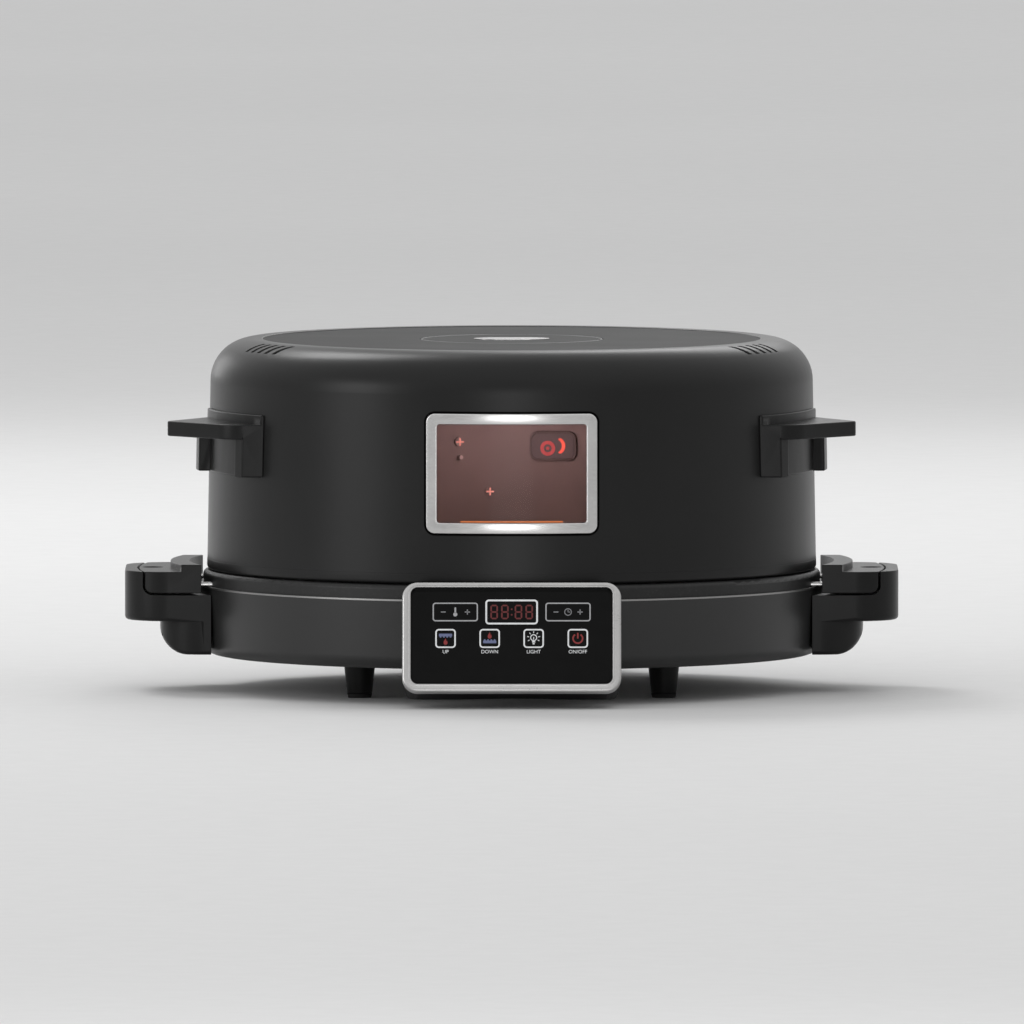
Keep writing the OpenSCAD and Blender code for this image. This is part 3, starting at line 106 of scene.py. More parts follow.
def grain_noise(tree, size, stretch=(1, 1, 1), detail=3.0):
    """Noise in the piece's own metres: size is that of one grain."""
    place = node(tree, "ShaderNodeTexCoord").outputs["Object"]
    place = node(tree, "ShaderNodeMapping", {"Vector": place, "Scale": stretch}).outputs["Vector"]
    return node(tree, "ShaderNodeTexNoise", {"Vector": place, "Scale": 1 / size, "Detail": detail}).outputs["Fac"]


def between(tree, fac, low, high, from_low=0.3, from_high=0.7):
    """Turns a noise into a value between two ends."""
    sockets = {"Value": fac, "From Min": from_low, "From Max": from_high, "To Min": low, "To Max": high}
    return node(tree, "ShaderNodeMapRange", sockets).outputs["Result"]


def ramp(tree, fac, *stops):
    """Colour ramp through stops of (position, red, green, blue)."""
    made = node(tree, "ShaderNodeValToRGB", {"Fac": fac})
    elements = made.color_ramp.elements
    while len(elements) < len(stops):
        elements.new(0.5)
    for element, (position, *colour) in zip(elements, stops):
        element.position = position
        element.color = (*colour, 1.0)
    return made.outputs["Color"]


def grey(position, value, warmth=0.0):
    """Ramp stop of a grey, warmer if asked."""
    return (position, value * (1 + warmth), value, value * (1 - warmth))


def relief(tree, shader, height, depth, strength=0.5):
    """Bump of a depth in metres."""
    bump = node(tree, "ShaderNodeBump", {"Height": height, "Distance": depth, "Strength": strength})
    tree.links.new(bump.outputs["Normal"], shader.inputs["Normal"])


def finish_material(name, stops, rough, grain, depth, cloud=60 * MM, stretch=(1, 1, 1), strength=0.5, **fixed):
    """Opaque finish: a cloud moves its colour and roughness, and a fine grain its colour and height."""
    material, tree, shader = new_material(name, **fixed)
    fine = grain_noise(tree, grain, stretch)
    broad = grain_noise(tree, cloud)
    mixed = node(tree, "ShaderNodeMix", {"Factor": 0.5, 2: fine, 3: broad}).outputs[0]
    tree.links.new(ramp(tree, mixed, *stops), shader.inputs["Base Color"])
    tree.links.new(between(tree, mixed, *rough), shader.inputs["Roughness"])
    relief(tree, shader, fine, depth, strength)
    return material


def paint(name, level, rough, specular):
    """Satin black coat with the fine grain of powder paint."""
    return finish_material(
        name, [grey(0.3, level * 0.8), grey(0.7, level * 1.2)], rough, 0.5 * MM, 0.012 * MM,
        Specular_IOR_Level=specular,
    )


def plastic(name, level, rough, specular=0.4):
    """Moulded black plastic with a spark-eroded grain, rubbed lighter along its edges."""
    material, tree, shader = new_material(name, Specular_IOR_Level=specular)
    fine = grain_noise(tree, 0.35 * MM)
    broad = grain_noise(tree, 30 * MM)
    edge = node(tree, "ShaderNodeNewGeometry").outputs["Pointiness"]
    worn = between(tree, edge, 0.0, 0.35, 0.52, 0.6)
    mixed = node(tree, "ShaderNodeMath", {0: broad, 1: worn}, operation="ADD").outputs[0]
    tree.links.new(
        ramp(tree, mixed, grey(0.3, level * 0.8), grey(0.7, level * 1.15), grey(1.0, level * 1.9)),
        shader.inputs["Base Color"],
    )
    tree.links.new(between(tree, fine, *rough), shader.inputs["Roughness"])
    relief(tree, shader, fine, 0.02 * MM)
    return material


def steel(name, level, rough, stretch=(1, 1, 1), warmth=0.01, depth=0.004 * MM):
    """Bare metal sheet, with brush lines where it is stretched."""
    return finish_material(
        name, [grey(0.25, level * 0.86, warmth), grey(0.75, level * 1.1, warmth)], rough, 0.9 * MM, depth,
        cloud=25 * MM, stretch=stretch, strength=0.35, Metallic=1.0,
    )


def stone_material(name):
    """Sandy fired stone with pores and darker flecks."""
    material, tree, shader = new_material(name, Specular_IOR_Level=0.3)
    sand = grain_noise(tree, 1.4 * MM, detail=6.0)
    cloud = grain_noise(tree, 45 * MM)
    mixed = node(tree, "ShaderNodeMix", {"Factor": 0.35, 2: sand, 3: cloud}).outputs[0]
    colour = ramp(tree, mixed, (0.3, 0.30, 0.22, 0.135), (0.48, 0.56, 0.44, 0.30), (0.7, 0.70, 0.59, 0.43))
    tree.links.new(colour, shader.inputs["Base Color"])
    tree.links.new(between(tree, sand, 0.75, 0.95), shader.inputs["Roughness"])
    relief(tree, shader, sand, 0.25 * MM, 0.8)
    return material


def pan_material(name):
    """Dark non-stick coat with small pale specks."""
    material, tree, shader = new_material(name, Specular_IOR_Level=0.35)
    place = node(tree, "ShaderNodeTexCoord").outputs["Object"]
    cells = node(tree, "ShaderNodeTexVoronoi", {"Vector": place, "Scale": 420.0}).outputs["Distance"]
    fine = grain_noise(tree, 0.6 * MM)
    colour = ramp(tree, cells, grey(0.1, 0.022), grey(0.16, 0.011), grey(0.7, 0.008))
    tree.links.new(colour, shader.inputs["Base Color"])
    tree.links.new(between(tree, fine, 0.38, 0.5), shader.inputs["Roughness"])
    relief(tree, shader, fine, 0.02 * MM)
    return material


def glass_material(name, colour, rough, cloud=40 * MM, **fixed):
    """Clear or tinted glass with faint smears, coated so that it mirrors little."""
    material, tree, shader = new_material(name, Transmission_Weight=1.0, IOR=1.1, **fixed)
    smear = grain_noise(tree, cloud)
    dark = [channel * 0.9 for channel in colour]
    tree.links.new(ramp(tree, smear, (0.3, *dark), (0.7, *colour)), shader.inputs["Base Color"])
    tree.links.new(between(tree, smear, *rough), shader.inputs["Roughness"])
    return material


def glow_material(name, colour, strength, base=None):
    """Print or glass that gives off light, a little uneven over its face."""
    material, tree, shader = new_material(name, Roughness=0.45, Emission_Strength=strength)
    cloud = grain_noise(tree, 3 * MM)
    dim = [channel * 0.82 for channel in colour]
    tree.links.new(ramp(tree, cloud, (0.3, *dim), (0.7, *colour)), shader.inputs["Emission Color"])
    low = [channel * 0.85 for channel in base or colour]
    tree.links.new(ramp(tree, cloud, (0.3, *low), (0.7, *(base or colour))), shader.inputs["Base Color"])
    return material


MATERIALS = {
    "body_paint": paint("body_paint", 0.009, (0.29, 0.36), 0.23),
    "bottom_paint": paint("bottom_paint", 0.012, (0.5, 0.6), 0.3),
    "hinge_paint": paint("hinge_paint", 0.02, (0.38, 0.48), 0.4),
    "pan_coat": pan_material("pan_coat"),
    "baking_stone": stone_material("baking_stone"),
    "liner_steel": finish_material(
        "liner_steel", [grey(0.25, 0.34, 0.01), grey(0.75, 0.42, 0.01)], (0.5, 0.6), 0.9 * MM, 0.02 * MM,
        cloud=25 * MM, strength=0.35, Metallic=0.35,
    ),
    "trim_steel": steel("trim_steel", 0.62, (0.2, 0.26), stretch=(0.03, 1, 1), depth=0.0006 * MM),
    "element_steel": steel("element_steel", 0.16, (0.45, 0.6), warmth=0.12, depth=0.03 * MM),
    "fitting_steel": steel("fitting_steel", 0.5, (0.3, 0.42)),
    "screw_steel": steel("screw_steel", 0.48, (0.28, 0.4)),
    "handle_plastic": plastic("handle_plastic", 0.008, (0.27, 0.36), 0.18),
    "housing_plastic": plastic("housing_plastic", 0.005, (0.5, 0.62), 0.15),
    "bezel_plastic": steel("bezel_plastic", 0.49, (0.26, 0.36), depth=0.001 * MM),
    "panel_black": finish_material(
        "panel_black", [grey(0.3, 0.0035), grey(0.7, 0.0055)], (0.10, 0.16), 9 * MM, 0.004 * MM,
        Specular_IOR_Level=0.08,
    ),
    "display_red": finish_material(
        "display_red", [(0.3, 0.02, 0.002, 0.002), (0.7, 0.03, 0.004, 0.004)], (0.2, 0.3), 1 * MM, 0.002 * MM,
    ),
    "board_green": finish_material(
        "board_green", [(0.35, 0.01, 0.05, 0.02), (0.6, 0.02, 0.10, 0.045)], (0.35, 0.5), 2 * MM, 0.05 * MM,
    ),
    "pin_brass": finish_material(
        "pin_brass", [(0.3, 0.55, 0.42, 0.18), (0.7, 0.72, 0.58, 0.30)], (0.22, 0.36), 0.6 * MM, 0.004 * MM,
        Metallic=1.0,
    ),
    "pad_rubber": finish_material(
        "pad_rubber", [grey(0.3, 0.008), grey(0.7, 0.014)], (0.7, 0.85), 0.5 * MM, 0.05 * MM,
        Specular_IOR_Level=0.25,
    ),
    "block_ceramic": finish_material(
        "block_ceramic", [grey(0.3, 0.56, 0.06), grey(0.7, 0.70, 0.05)], (0.55, 0.7), 0.8 * MM, 0.05 * MM,
    ),
    "insulation_wool": finish_material(
        "insulation_wool", [grey(0.3, 0.02, 0.14), grey(0.7, 0.05, 0.12)], (0.85, 0.98), 3 * MM, 1.2 * MM,
        stretch=(1, 0.3, 1), strength=0.9,
    ),
    "window_tint": glass_material("window_tint", (0.72, 0.60, 0.61), (0.02, 0.05)),
    "lamp_glass": glass_material("lamp_glass", (0.95, 0.86, 0.78), (0.03, 0.08)),
}
BASE_PAINT = paint("base_paint", 0.011, (0.32, 0.4), 0.48)
COVER_PAINT = paint("cover_paint", 0.009, (0.56, 0.64), 0.2)
# Light grey paint of the two beads on the lid top: a painted highlight of the crest edge and of the groove walls
BEAD_PAINTED_HIGHLIGHT = paint("bead_painted_highlight", 0.1, (0.25, 0.32), 0.5)
# Darker, browner copy of the terminal block's ceramic: painted shade, because the oven light sits close to the upper
# block
BLOCK_PAINTED_SHADE = finish_material(
    "block_painted_shade", [grey(0.3, 0.16, 0.2), grey(0.7, 0.22, 0.18)], (0.55, 0.7), 0.8 * MM, 0.05 * MM,
)
# Near-black rim around the window frame: painted shade of the gap between the frame and the lid wall
GAP_PAINTED_SHADE = paint("gap_painted_shade", 0.0015, (0.8, 0.9), 0.02)
LAMP_PAINT = paint("lamp_paint", 0.2, (0.5, 0.6), 0.3)
LENS_FROST = finish_material(
    "lens_frost", [grey(0.3, 0.21, -0.06), grey(0.7, 0.24, -0.06)], (0.5, 0.6), 0.4 * MM, 0.01 * MM,
    Specular_IOR_Level=0.2,
)
RING_STEEL = steel("ring_steel", 0.30, (0.3, 0.4))
TIP_STEEL = finish_material(
    "tip_steel", [grey(0.3, 0.7), grey(0.7, 0.8)], (0.5, 0.6), 0.5 * MM, 0.01 * MM, Metallic=0.2,
)
WHITE_INK = glow_material("white_ink", (0.66, 0.67, 0.68), 0.2)
GREY_INK = glow_material("grey_ink", (0.36, 0.36, 0.37), 0.1)
DIM_INK = glow_material("dim_ink", (0.2, 0.2, 0.21), 0.05)
BLUE_INK = glow_material("blue_ink", (0.12, 0.14, 0.26), 0.1)
RED_INK = glow_material("red_ink", (0.20, 0.014, 0.014), 0.2)
DISPLAY_GLOW = glow_material("display_glow", (0.55, 0.03, 0.03), 0.1, base=(0.06, 0.004, 0.004))
RING_GLOW = glow_material("ring_glow", (1.0, 0.2, 0.2), 0.5, base=(0.3, 0.05, 0.05))
# Warm glowing crescent beside the lamp: a painted highlight of its reflector
CRESCENT_PAINTED_HIGHLIGHT = glow_material("crescent_painted_highlight", (1.0, 0.19, 0.13), 0.95, base=(0.5, 0.1, 0.07))
# Pink-white glow of the screw cross slots: a painted glint of the oven light, not a lamp
CROSS_PAINTED_GLINT = glow_material("cross_painted_glint", (1.0, 0.4, 0.32), 1.1, base=(0.4, 0.2, 0.16))
SILL_GLOW = glow_material("sill_glow", (1.0, 0.36, 0.12), 0.8, base=(0.4, 0.2, 0.1))


def dress_solids():
    """Gives every solid the finish of its material slot."""
    slot_of = {part["node"]: part["material_slot"] for part in frame["record"]["subparts"]}
    own = {
        "base_shell": BASE_PAINT, "trim_ring": RING_STEEL, "lid_top_cover": COVER_PAINT, "lamp_housing": LAMP_PAINT,
        "upper_temperature_sensor": TIP_STEEL, "lamp_lens": LENS_FROST, "upper_terminal_block": BLOCK_PAINTED_SHADE,
        "liner_screws": MATERIALS["liner_steel"],
    }
    for name, solid in nodes.items():
        solid.data.materials.clear()
        solid.data.materials.append(own.get(name, MATERIALS[slot_of[name]]))


# Mesh helpers

def new_piece(name, mesh, material, body):
    """Object from a bmesh, riding on a body."""
    data = bpy.data.meshes.new(name)
    bmesh.ops.recalc_face_normals(mesh, faces=mesh.faces)
    mesh.to_mesh(data)
    mesh.free()
    data.materials.append(material)
    piece = bpy.data.objects.new(name, data)
    bpy.context.scene.collection.objects.link(piece)
    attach(piece, body)
    return piece


def smooth(piece, angle=SHARP_ANGLE):
    """Smooth shading with sharp edges beyond an angle."""
    for polygon in piece.data.polygons:
        polygon.use_smooth = True
    piece.data.set_sharp_from_angle(angle=angle)


def round_loop(half_w, half_h, radius, steps=ARC_STEPS, straight=1):
    """Points of a rectangle with round corners, counter-clockwise; straight parts its sides."""
    arcs = []
    for corner, (x, y) in enumerate(((1, 1), (-1, 1), (-1, -1), (1, -1))):
        turns = [math.pi / 2 * (corner + step / steps) for step in range(steps + 1)]
        middle = Vector((x * (half_w - radius), y * (half_h - radius)))
        arcs.append([middle + radius * Vector((math.cos(turn), math.sin(turn))) for turn in turns])
    points = []
    for arc, after in zip(arcs, arcs[1:] + arcs[:1]):
        points += arc
        points += [arc[-1].lerp(after[0], k / straight) for k in range(1, straight)]
    return [tuple(point) for point in points]


def arc_profile(centre, radius, start, end, steps=5):
    """Points along an arc, angles in degrees."""
    return [
        (centre[0] + radius * math.cos(math.radians(start + (end - start) * k / steps)),
         centre[1] + radius * math.sin(math.radians(start + (end - start) * k / steps)))
        for k in range(steps + 1)
    ]


def skin_loops(mesh, loops, closed=True):
    """Joins loops of as many points each with quads; closed joins the last loop to the first."""
    rows = [[mesh.verts.new(point) for point in loop] for loop in loops]
    pairs = list(zip(rows, rows[1:] + rows[:1])) if closed else list(zip(rows, rows[1:]))
    for low, high in pairs:
        for k in range(len(low)):
            after = (k + 1) % len(low)
            mesh.faces.new((low[k], low[after], high[after], high[k]))
    return rows


def weigh_edges(mesh, pocket, rim):
    """Bevel weights of the sharp edges: full on the outside, and a share of that around pockets and on top."""
    weight = mesh.edges.layers.float.new("bevel_weight_edge")
    corners = [Vector(pick(vert.co[axis] for vert in mesh.verts) for axis in range(3)) for pick in (min, max)]
    centre, top = (corners[0] + corners[1]) / 2, corners[1].z
    for edge in mesh.edges:
        bend = edge.calc_face_angle_signed() if len(edge.link_faces) == 2 else 0.0
        if bend < -SHARP_ANGLE:
            edge.smooth = False
        elif bend > SHARP_ANGLE:
            middle = (edge.verts[0].co + edge.verts[1].co) / 2
            outer = rim if middle.z > top - TOP_BAND else 1.0
            edge[weight] = outer if is_outer(edge, middle, centre, top) else pocket


def is_outer(edge, middle, centre, top):
    """Whether an edge lies on a piece's outside, and not around a pocket, on a step in it or at the drum."""
    for face in edge.link_faces:
        if face.normal.z > STEEP:
            if middle.z < top - TOP_BAND:
                return False
        elif face.normal.z > -STEEP and face.normal.xy.dot((middle - centre).xy) < 0:
            return False
        if face.normal.xy.dot(middle.xy.normalized()) < -STEEP:
            return False
    return True


def rounded_copy(name, radius, segments=3, pocket=1.0, rim=1.0):
    """Copy of a solid with its sharp edges rounded, in place of the solid."""
    solid = nodes[name]
    mesh = bmesh.new()
    mesh.from_mesh(solid.data)
    bmesh.ops.remove_doubles(mesh, verts=mesh.verts, dist=WELD)
    bmesh.ops.dissolve_limit(mesh, angle_limit=FLAT_ANGLE, verts=mesh.verts, edges=mesh.edges)
    weigh_edges(mesh, pocket, rim)
    slot = next(part["material_slot"] for part in frame["record"]["subparts"] if part["node"] == name)
    piece = new_piece(name + "_rounded", mesh, MATERIALS[slot], body_of(name))
    bevel = piece.modifiers.new("edges", "BEVEL")
    bevel.width = radius
    bevel.segments = segments
    bevel.limit_method = "WEIGHT"
    bevel.use_clamp_overlap = False
    for polygon in piece.data.polygons:
        polygon.use_smooth = True
    normals = piece.modifiers.new("normals", "WEIGHTED_NORMAL")
    normals.keep_sharp = True
    normals.weight = 100
    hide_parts(name)
    return piece


def body_of(name):
    """Body that carries a node."""
    bodies = frame["record"]["behaviour"]["bodies"]
    return next(body for body, members in bodies.items() if name in members)


# Window frame: a swept section that follows the round lid wall

LID_LOW, LID_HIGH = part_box("lid_shell")


def lid_wall_radius(z):
    """Outer radius of the lid wall at a height."""
    start = LID_LOW[2] + LID_EDGE_R
    return LID_HIGH[0] - LID_DRAFT * (z - start) / (LID_HIGH[2] - SHOULDER_R - start)


def on_lid_wall(x, z, out):
    """Point on the front of the lid wall, a distance out of it."""
    radius = lid_wall_radius(z) + out
    return (x, -math.sqrt(radius * radius - x * x), z)


def window_frame():
    """Brushed frame with rounded edges around the window, ringed by a thin near-black rim that is painted shade of
    the gap around the frame.
    """
    low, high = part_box("window_frame")
    half_w, half_h = (high[0] - low[0]) / 2, (high[2] - low[2]) / 2
    mid_z = (high[2] + low[2]) / 2
    border, corner, inner_corner = 7.2 * MM, 6 * MM, 1.8 * MM
    thick, edge, gap = 1.6 * MM, 0.7 * MM, 0.6 * MM
    # The first bands of the section, reaching out past the frame's edge, are painted shade of the gap around it
    section = [(-gap, 0.05 * MM), (-gap, 0.35 * MM), (gap, 0.35 * MM)]
    shade_bands = len(section) - 1
    section += arc_profile((gap + edge, thick - edge), edge, 180, 90)
    section += arc_profile((border - edge, thick - edge), edge, 90, 0)
    section += [(border, -0.4 * MM)]
    loops = []
    for inset, out in section:
        outline = round_loop(half_w - inset, half_h - inset, max(corner - inset, inner_corner), straight=24)
        loops.append([on_lid_wall(x, mid_z + y, out) for x, y in outline])
    mesh = bmesh.new()
    skin_loops(mesh, loops)
    piece = new_piece("window_frame_brushed", mesh, MATERIALS["trim_steel"], "lid")
    piece.data.materials.append(GAP_PAINTED_SHADE)
    for polygon in piece.data.polygons:
        polygon.material_index = int(polygon.index < shade_bands * len(loops[0]))
    smooth(piece, FRAME_ANGLE)
    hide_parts("window_frame")


SILL_HALF = 31
SILL_Z = 7.3 * MM
SILL_SECTION = ((-3.6, 0.0), (-3.6, 0.9), (-4.6, 0.9), (-4.6, 0.0))


def sill_glow():
    """Warm line where the oven's light falls on the sill of the window."""
    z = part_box("window_frame")[0][2] + SILL_Z
    mesh = bmesh.new()
    rows = []
    for out, lift in SILL_SECTION:
        line = [on_lid_wall(x * MM, z + lift * MM, out * MM) for x in range(-SILL_HALF, SILL_HALF + 1)]
        rows.append([mesh.verts.new(point) for point in line])
    for row, after in zip(rows, rows[1:] + rows[:1]):
        for k in range(len(row) - 1):
            mesh.faces.new((row[k], row[k + 1], after[k + 1], after[k]))
    new_piece("window_sill_glow", mesh, SILL_GLOW, "lid")


# Control panel

def panel_place():
    """Matrix from the panel's face to the oven: x right, y up along the glass, z out of it."""
    low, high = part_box("panel_glass")
    centre = (Vector(low) + Vector(high)) / 2
    deep, tall = high[1] - low[1], high[2] - low[2]
    sine, cosine = math.sin(PANEL_TILT), math.cos(PANEL_TILT)
    thick = (deep * cosine - tall * sine) / (cosine * cosine - sine * sine)
    outward = Vector((0, -cosine, sine))
    turn = Matrix.Rotation(math.pi / 2 - PANEL_TILT, 4, "X")
    return Matrix.Translation(centre + outward * thick / 2) @ turn


PANEL = panel_place()
GLASS_DROP = 0.6 * MM
INK_T = 0.06 * MM


def panel_bezel():
    """Silver bezel: a round outer edge, a flat face, narrower at the top, and a step down to the glass."""
    low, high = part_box("panel_bezel")
    half_w, half_h = (high[0] - low[0]) / 2, 34.2 * MM
    corner, deep, width, rise = 9.5 * MM, 5 * MM, 6 * MM, 2.1 * MM
    edge, groove, seat = 1.6 * MM, 0.35 * MM, width + rise + 1 * MM
    section = [(0, -deep), (0, -3.4 * MM), (groove, -3.2 * MM), (groove, -2.8 * MM), (0, -2.6 * MM)]
    section += arc_profile((edge, -edge), edge, 180, 90)
    section += [(3.3 * MM, 0), (3.5 * MM, -0.15 * MM), (3.9 * MM, -0.15 * MM), (4.1 * MM, 0)]
    section += arc_profile((4.7 * MM, -0.5 * MM), 0.5 * MM, 90, 0)
    bright = len(section) - 1
    section += [(5.3 * MM, -0.55 * MM), (width, -0.7 * MM), (width, -3.0 * MM)]
    section += [(seat, -3.1 * MM), (seat, -deep)]
    mesh = bmesh.new()
    loops = []
    for inset, out in section:
        outline = round_loop(half_w - inset, half_h - inset, max(corner - inset, 1 * MM))
        higher = rise * min(inset / width, 1.0)
        outline = [(x, y + higher if y > 0 else y) for x, y in outline]
        loops.append([PANEL @ Vector((x, y, out + GLASS_DROP)) for x, y in outline])
    skin_loops(mesh, loops)
    piece = new_piece("panel_bezel_rounded", mesh, MATERIALS["bezel_plastic"], "base")
    piece.data.materials.append(MATERIALS["panel_black"])
    for polygon in piece.data.polygons:
        polygon.material_index = int(polygon.index >= bright * len(loops[0]))
    smooth(piece, BEZEL_ANGLE)
    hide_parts("panel_bezel")


class Ink:
    """Flat marks of one colour on the panel glass, in millimetres about the glass's middle."""

    def __init__(self, name, material, lift=INK_T):
        self.name, self.material, self.lift = name, material, lift
        self.mesh = bmesh.new()

    def verts(self, outline, out):
        """Points of an outline at a distance out of the glass."""
        return [self.mesh.verts.new(PANEL @ Vector((x * MM, y * MM, out))) for x, y in outline]

    def plate(self, outline):
        """Filled outline with a thin edge."""
        top, bottom = self.verts(outline, self.lift), self.verts(outline, 0)
        self.mesh.faces.new(top)
        self.wall(top, bottom)

    def wall(self, top, bottom):
        """Quads between two closed rows of points."""
        for k in range(len(top)):
            after = (k + 1) % len(top)
            self.mesh.faces.new((bottom[k], bottom[after], top[after], top[k]))

    def ring(self, outer, inner):
        """Band between two outlines of as many points."""
        tops = self.verts(outer, self.lift), self.verts(inner, self.lift)
        self.wall(*tops)
        self.wall(tops[0], self.verts(outer, 0))
        self.wall(tops[1], self.verts(inner, 0))

    def frame(self, x, y, w, h, radius, line):
        """Outline of a rectangle with round corners."""
        outer = round_loop(w / 2, h / 2, radius)
        inner = round_loop(w / 2 - line, h / 2 - line, max(radius - line, 0.2))
        self.ring(*([(x + px, y + py) for px, py in outline] for outline in (outer, inner)))

    def bar(self, x, y, w, h, turn=0.0, radius=None):
        """Rectangle with round corners about a point, turned by degrees."""
        radius = min(w, h) * 0.3 if radius is None else radius
        c, s = math.cos(math.radians(turn)), math.sin(math.radians(turn))
        self.plate([(x + px * c - py * s, y + px * s + py * c) for px, py in round_loop(w / 2, h / 2, radius, 4)])

    def disc(self, x, y, radius):
        """Filled circle."""
        self.plate(circle(x, y, radius))

    def hoop(self, x, y, radius, line):
        """Circle of a line's width."""
        self.ring(circle(x, y, radius), circle(x, y, radius - line))

    def stroke(self, points, line):
        """Open stroke of a width along points."""
        left, right = [], []
        for k, point in enumerate(points):
            before, after = points[max(k - 1, 0)], points[min(k + 1, len(points) - 1)]
            along = Vector((after[0] - before[0], after[1] - before[1])).normalized()
            left.append((point[0] - along.y * line / 2, point[1] + along.x * line / 2))
            right.append((point[0] + along.y * line / 2, point[1] - along.x * line / 2))
        self.plate(left + right[::-1])

    def text(self, words, x, y, height):
        """Plain lettering about a point."""
        curve = bpy.data.curves.new("words", "FONT")
        curve.body = words
        curve.size = height
        curve.align_x, curve.align_y = "CENTER", "CENTER"
        holder = bpy.data.objects.new("words", curve)
        bpy.context.scene.collection.objects.link(holder)
        letters = bpy.data.meshes.new_from_object(holder.evaluated_get(bpy.context.evaluated_depsgraph_get()))
        for vertex in letters.vertices:
            vertex.co = PANEL @ Vector(((x + vertex.co.x) * MM, (y + vertex.co.y) * MM, self.lift))
        self.mesh.from_mesh(letters)
        bpy.data.objects.remove(holder)
        bpy.data.meshes.remove(letters)

    def done(self):
        """Piece of all the marks of this colour."""
        return new_piece(self.name, self.mesh, self.material, "base")


def circle(x, y, radius, steps=32):
    """Points of a circle."""
    return [
        (x + radius * math.cos(2 * math.pi * k / steps), y + radius * math.sin(2 * math.pi * k / steps))
        for k in range(steps)
    ]


def flame(x, y, size):
    """Outline of a flame with one tip and a smaller lick beside it."""
    knots = [
        ((0.05, 1.0), (-0.1, 0.55), (-0.62, 0.3), (-0.6, -0.35)),
        ((-0.6, -0.35), (-0.58, -0.8), (-0.3, -1.0), (0.0, -1.0)),
        ((0.0, -1.0), (0.36, -1.0), (0.62, -0.75), (0.6, -0.3)),
        ((0.6, -0.3), (0.58, 0.0), (0.45, 0.1), (0.4, 0.35)),
        ((0.4, 0.35), (0.3, 0.15), (0.22, 0.1), (0.2, 0.1)),
        ((0.2, 0.1), (0.22, 0.45), (0.15, 0.75), (0.05, 1.0)),
    ]
    points = []
    for a, b, c, d in knots:
        curve = interpolate_bezier(Vector((*a, 0)), Vector((*b, 0)), Vector((*c, 0)), Vector((*d, 0)), 7)
        points += [(x + p.x * size, y + p.y * size) for p in curve[:-1]]
    return points


BOX_Y = 15.6
BOX_X = 34.1
DISPLAY_W, DISPLAY_H = 31.8, 15.4
BUTTON_XS = (-40.0, -13.3, 13.3, 40.0)
BUTTON_Y = -0.8
BUTTON = 12.4
LABEL_Y = -9.1
LABELS = ("UP", "DOWN", "LIGHT", "ON/OFF")


def panel_marks():
    """Touch marks and display of the panel."""
    white, pale = Ink("panel_marks_white", WHITE_INK), Ink("panel_marks_grey", GREY_INK)
    dim = Ink("panel_marks_dim", DIM_INK)
    red, blue = Ink("panel_marks_red", RED_INK), Ink("panel_marks_blue", BLUE_INK)
    white.frame(0, BOX_Y, DISPLAY_W, DISPLAY_H, 2.2, 1.05)
    for side in (-1, 1):
        x = side * BOX_X
        pale.frame(x, BOX_Y, 27.4, 11.6, 1.8, 0.75)
        dim.bar(x - 7.3, BOX_Y, 3.0, 0.7)
        dim.bar(x + 7.3, BOX_Y, 3.2, 0.7)
        dim.bar(x + 7.3, BOX_Y, 0.7, 3.2)
    thermometer(pale, -BOX_X, BOX_Y)
    clock(dim, BOX_X, BOX_Y)
    for x, label in zip(BUTTON_XS, LABELS):
        white.frame(x, BUTTON_Y, BUTTON, BUTTON - 0.6, 2.2, 0.9)
        white.text(label, x, LABEL_Y, 3.1)
    heater(blue, red, BUTTON_XS[0], 1)
    heater(blue, red, BUTTON_XS[1], -1)
    bulb_mark(white, BUTTON_XS[2], BUTTON_Y)
    power_mark(red, BUTTON_XS[3], BUTTON_Y)
    for ink in (white, pale, dim, red, blue):
        ink.done()
    digits()


def thermometer(ink, x, y):
    """Stem and bulb of a thermometer."""
    ink.bar(x, y + 0.9, 1.0, 4.0, radius=0.5)
    ink.disc(x, y - 1.5, 1.25)


def clock(ink, x, y):
    """Clock face with two hands."""
    ink.hoop(x, y, 2.3, 0.55)
    ink.bar(x, y + 0.7, 0.5, 1.7)
    ink.bar(x + 0.6, y, 1.5, 0.5)


def heater(bar_ink, flame_ink, x, up):
    """Heating bar with a flame below it for the upper ring, or above it for the lower one."""
    bar_ink.bar(x, BUTTON_Y + up * 2.1, 8.0, 1.7, radius=0.3)
    for k in range(4):
        bar_ink.bar(x - 3.0 + 2.0 * k, BUTTON_Y + up * 0.9, 1.0, 0.7, radius=0.2)
    flame_ink.plate(flame(x, BUTTON_Y - up * 1.9, 2.0))


def bulb_mark(ink, x, y):
    """Light bulb with rays."""
    ink.hoop(x, y + 0.5, 2.1, 0.55)
    ink.bar(x, y - 2.1, 1.9, 0.9)
    ink.bar(x, y - 3.3, 1.3, 0.7)
    ink.bar(x, y + 0.1, 0.5, 1.6)
    for turn in range(-30, 211, 40):
        c, s = math.cos(math.radians(turn)), math.sin(math.radians(turn))
        ink.bar(x + 3.4 * c, y + 0.5 + 3.4 * s, 1.2, 0.45, turn)


def power_mark(ink, x, y):
    """Open ring with a bar through its gap."""
    arc = [math.radians(125 + 290 * k / 28) for k in range(29)]
    ink.stroke([(x + 2.9 * math.cos(a), y + 2.9 * math.sin(a)) for a in arc], 0.95)
    ink.bar(x, y + 1.7, 0.95, 3.6)


DIGIT_W, DIGIT_H, SEGMENT = 4.6, 9.0, 0.95
DIGIT_XS = (-10.6, -4.1, 4.1, 10.6)


def segment(ink, x, y, length, upright):
    """One bar of a digit, with pointed ends."""
    half, tip = SEGMENT / 2, length / 2
    shape = [(-tip, 0), (-tip + half, half), (tip - half, half), (tip, 0), (tip - half, -half), (-tip + half, -half)]
    ink.plate([(x - py, y + px) if upright else (x + px, y + py) for px, py in shape])


